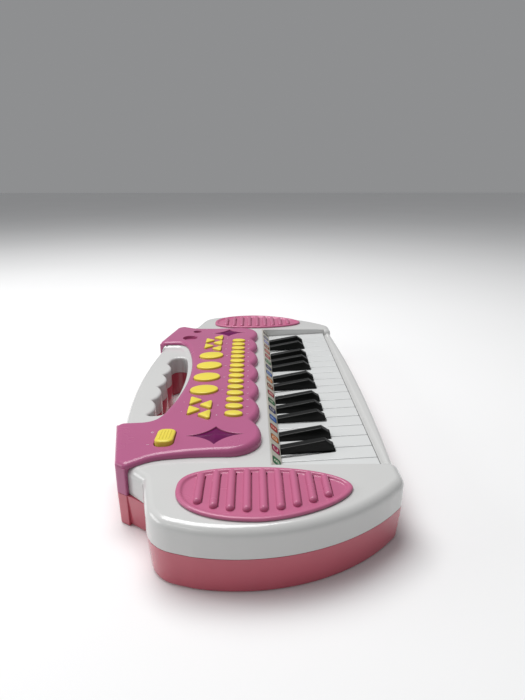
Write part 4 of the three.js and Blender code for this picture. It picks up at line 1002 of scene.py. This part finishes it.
def note_labels():
    film_half = WELL_HALF - 0.6
    sheet = rounded_box(0, SLOPE_LENGTH / 2, 2 * film_half, SLOPE_LENGTH * 0.95, 0.8)
    film = slope_tile(sheet, GAP, GAP + 0.5, 0.12)
    place(film, "note_label_film", FILM, "case", ["note_label_strip"])
    border_ink = plastic("label_border", (0.02, 0.018, 0.025), 0.35, 0.1, 0.1, wear=0.1)
    letter_ink = plastic("label_letter", (0.72, 0.68, 0.58), 0.35, 0.05, 0.1)
    borders, letters, fills = [], [], {}
    for i, note in enumerate(NOTE_NAMES):
        x, u = WHITE_XS[i] + 0.2, SLOPE_LENGTH * 0.5
        borders.append(slope_tile(rounded_box(x, u, 9.6, 8.0, 1.9), GAP + 0.48, GAP + 0.54))
        fills.setdefault(NOTE_ORDER[i], []).append(
            slope_tile(rounded_box(x, u, 8.4, 6.8, 1.4), GAP + 0.5, GAP + 0.58))
        letter = lettering(note, 6.8, 0.06)
        letters.append(put(letter, Vector((1, 0, 0)), SLOPE_UP, SLOPE_OUT, on_slope(x, u, GAP + 0.6)))
    place(joined(borders), "note_label_borders", border_ink, "case", ())
    for name, tiles in fills.items():
        ink = plastic("label_" + name, NOTE_COLOURS[name], 0.35, 0.06, 0.15, wear=0.15)
        place(joined(tiles), "note_labels_" + name, ink, "case", ())
    place(joined(letters), "note_label_letters", letter_ink, "case", ())


def panel_legends():
    """Small generic marks printed beside the buttons."""
    across = Vector((1, 0, 0))
    up = Vector((0, 1, -PANEL_SLOPE)).normalized()
    out = across.cross(up)
    marks = [(str(k + 1), x, 0.6, 2.2) for k, x in enumerate(TONE_XS)]
    marks += [(str(k + 1), at.x, 22.4, 2.6) for k, at in enumerate(MODES)]
    for xs, y, way in TRIANGLES.values():
        sign = "+" if way > 0 else "-"
        marks += [(sign, x, y + (9.2 if way < 0 else -9), 3.2) for x in xs]
    marks += [("O", SWITCH.x + 9, SWITCH.y + 10.6, 2.6), ("I", SWITCH.x - 9, SWITCH.y + 10.6, 2.6)]
    letters = []
    for text, x, y, size in marks:
        at = Vector((x, y, panel_top_at(y) + 0.03))
        letters.append(put(lettering(text, size, 0.08), across, up, out, at))
    place(joined(letters), "panel_legends", LEGEND, "case", ())


# ---- battery door -------------------------------------
def battery_door():
    low, high = DOOR_LOW, DOOR_HIGH
    y1 = high.y - 10.2
    rings = [(0, 0.7), (0.12, 0.3), (0.4, 0.05), (0.7, 0), (2, 0)]
    middle_x, middle_y = (low.x + high.x) / 2, (low.y + y1) / 2
    plate = stack(rounded_box(middle_x, middle_y, high.x - low.x, y1 - low.y, 1.2), rings)
    ear = stack(ellipse(0, DOOR_SCREW_Y, 4.9, 4.9), rings)
    neck = box(-3.6, 3.6, y1 - 2, DOOR_SCREW_Y, 0.05, 2)
    door = union([plate, ear, neck])
    groove = [(-1, -0.2), (0, 0), (0.6, 0.2)]
    grips = joined([stack(rounded_box(0, low.y + 8 + 3.2 * k, 26, 1.4, 0.65), groove) for k in range(5)])
    screw = turned([(3.4, -1), (3.2, 0.6), (3.2, 1.0), (1.7, 1.05), (1.7, 4)], 0, DOOR_SCREW_Y)
    return cut(door, [grips, screw])


def door_screw():
    y = DOOR_SCREW_Y
    head = turned([(0.02, 0.12), (1.6, 0.14), (2.5, 0.3), (2.8, 0.62), (2.8, 0.85), (1.3, 0.9),
                   (1.3, 7.2), (0.02, 7.6)], 0, y)
    reach, half, depth = 1.8, 0.3, 0.55
    cross = union([box(-reach, reach, y - half, y + half, -1, depth),
                   box(-half, half, y - reach, y + reach, -1, depth)])
    return cut(head, [cross])


# ---- build --------------------------------------------
def build_case():
    place(lower_case(), "lower_shell", PINK, "case", ["lower_case"])
    place(upper_case(), "upper_shell", WHITE, "case", ["upper_case"])
    place(control_panel(), "panel_shell", MAUVE, "case", ["control_panel"])
    for side, end in ((-1, "bass"), (1, "treble")):
        place(grille(side), f"grille_{end}", GRILLE_PINK, "case", [f"speaker_grille_{end}"])
        place(gem(side), f"gem_{end}", GEM, "case", [f"gem_lens_{end}"], 20)
    place(battery_door(), "door_panel", PINK, "case", ["battery_door"])
    place(door_screw(), "door_screw", STEEL, "case", ["battery_door_screw"])


def build_keys():
    for i, name in enumerate(numbered("white_key")):
        place(white_key(i), "ivory_" + name, KEY_WHITE, name, [name])
    for x, name in zip(BLACK_XS, numbered("black_key")):
        place(black_key(x), "ebony_" + name, KEY_BLACK, name, [name])


def build_buttons():
    tones = moulding([tone_shape(x) for x in TONE_XS], [(x, TONE_Y) for x in TONE_XS], 3.4)
    place(tones, "cap_tone_button_row", YELLOW, "tone_button_row", ["tone_button_row"])
    for at, name in zip(MODES, numbered("mode_button")):
        cap = moulding([mode_shape(at)], [(at.x, at.y)], 10)
        place(cap, "cap_" + name, YELLOW, name, [name])
    for name, (xs, y, way) in TRIANGLES.items():
        shapes = [triangle(x, y, way) for x in xs]
        caps = moulding(shapes, [(x, y) for x in xs], 3)
        place(caps, "cap_" + name, YELLOW, name, [name])
    place(power_switch(), "cap_power_switch", YELLOW, "power_switch", ["power_switch"])


def dress_inner_nodes():
    finishes = {"key_hinge_rod": STEEL, "battery_contacts": STEEL, "main_circuit_board": BOARD,
                "key_contact_board": BOARD, "button_dome_sheet": RUBBER, "key_dome_strip": RUBBER,
                "speaker_driver_bass": CONE, "speaker_driver_treble": CONE}
    for node, material in finishes.items():
        mesh = frame["nodes"][node].data
        mesh.materials.clear()
        mesh.materials.append(material)


# ---- stage --------------------------------------------
def camera():
    """Low view along the length from the bass end, a little to the player's side of the middle."""
    pitch, turn = math.radians(18.65), math.radians(-1.15)
    data = bpy.data.cameras.new("camera")
    data.sensor_fit = "HORIZONTAL"
    data.sensor_width = 36
    data.lens = 36.07
    data.clip_start = 0.01
    level = math.cos(pitch)
    forward = Vector((level * math.cos(turn), level * math.sin(turn), -math.sin(pitch)))
    right = Vector((math.sin(turn), -math.cos(turn), 0))
    up = right.cross(forward)
    obj = bpy.data.objects.new("camera", data)
    bpy.context.scene.collection.objects.link(obj)
    basis = Matrix((right, up, -forward)).transposed().to_4x4()
    obj.matrix_world = Matrix.Translation((-0.4613, -0.0036, 0.2262)) @ basis
    bpy.context.scene.camera = obj


def area_light(name, at, toward, size, power):
    data = bpy.data.lights.new(name, "AREA")
    data.shape = "RECTANGLE"
    data.size, data.size_y = size
    data.energy = power
    obj = bpy.data.objects.new(name, data)
    bpy.context.scene.collection.objects.link(obj)
    aim = (Vector(toward) - Vector(at)).to_track_quat("-Z", "Y")
    obj.matrix_world = Matrix.Translation(at) @ aim.to_matrix().to_4x4()


def stage():
    half = 6
    mesh = bpy.data.meshes.new("floor")
    corners = [(-half, -half, 0), (half, -half, 0), (half, half, 0), (-half, half, 0)]
    mesh.from_pydata(corners, [], [(0, 1, 2, 3)])
    floor = new_object("floor", mesh)
    n = Nodes("floor_paper")
    tone = n.noise(3, 2)
    n.link(n.mix(tone, (0.86, 0.86, 0.86, 1), (0.90, 0.90, 0.90, 1)), n.shader.inputs["Base Color"])
    n.shader.inputs["Roughness"].default_value = 0.8
    n.shader.inputs["Specular IOR Level"].default_value = 0.1
    mesh.materials.append(n.material)
    bpy.context.scene.view_settings.view_transform = "Standard"
    world = bpy.data.worlds.new("studio")
    bpy.context.scene.world = world
    world.use_nodes = True
    background = world.node_tree.nodes["Background"]
    background.inputs["Color"].default_value = (0.97, 0.98, 1.0, 1)
    background.inputs["Strength"].default_value = 0.28
    area_light("overhead", (0.25, 0.3, 1.35), (0.05, 0, 0), (0.95, 0.95), 19.5)
    area_light("left_window", (-0.1, 1.5, 0.6), (-0.1, 0, 0), (1.0, 0.5), 5)
    area_light("near_strip", (-0.75, 0.55, 0.75), (-0.15, 0, 0.04), (0.5, 0.06), 0.35)


camera()
stage()
build_case()
build_keys()
build_buttons()
note_labels()
panel_legends()
dress_inner_nodes()

bpy.context.view_layer.update()
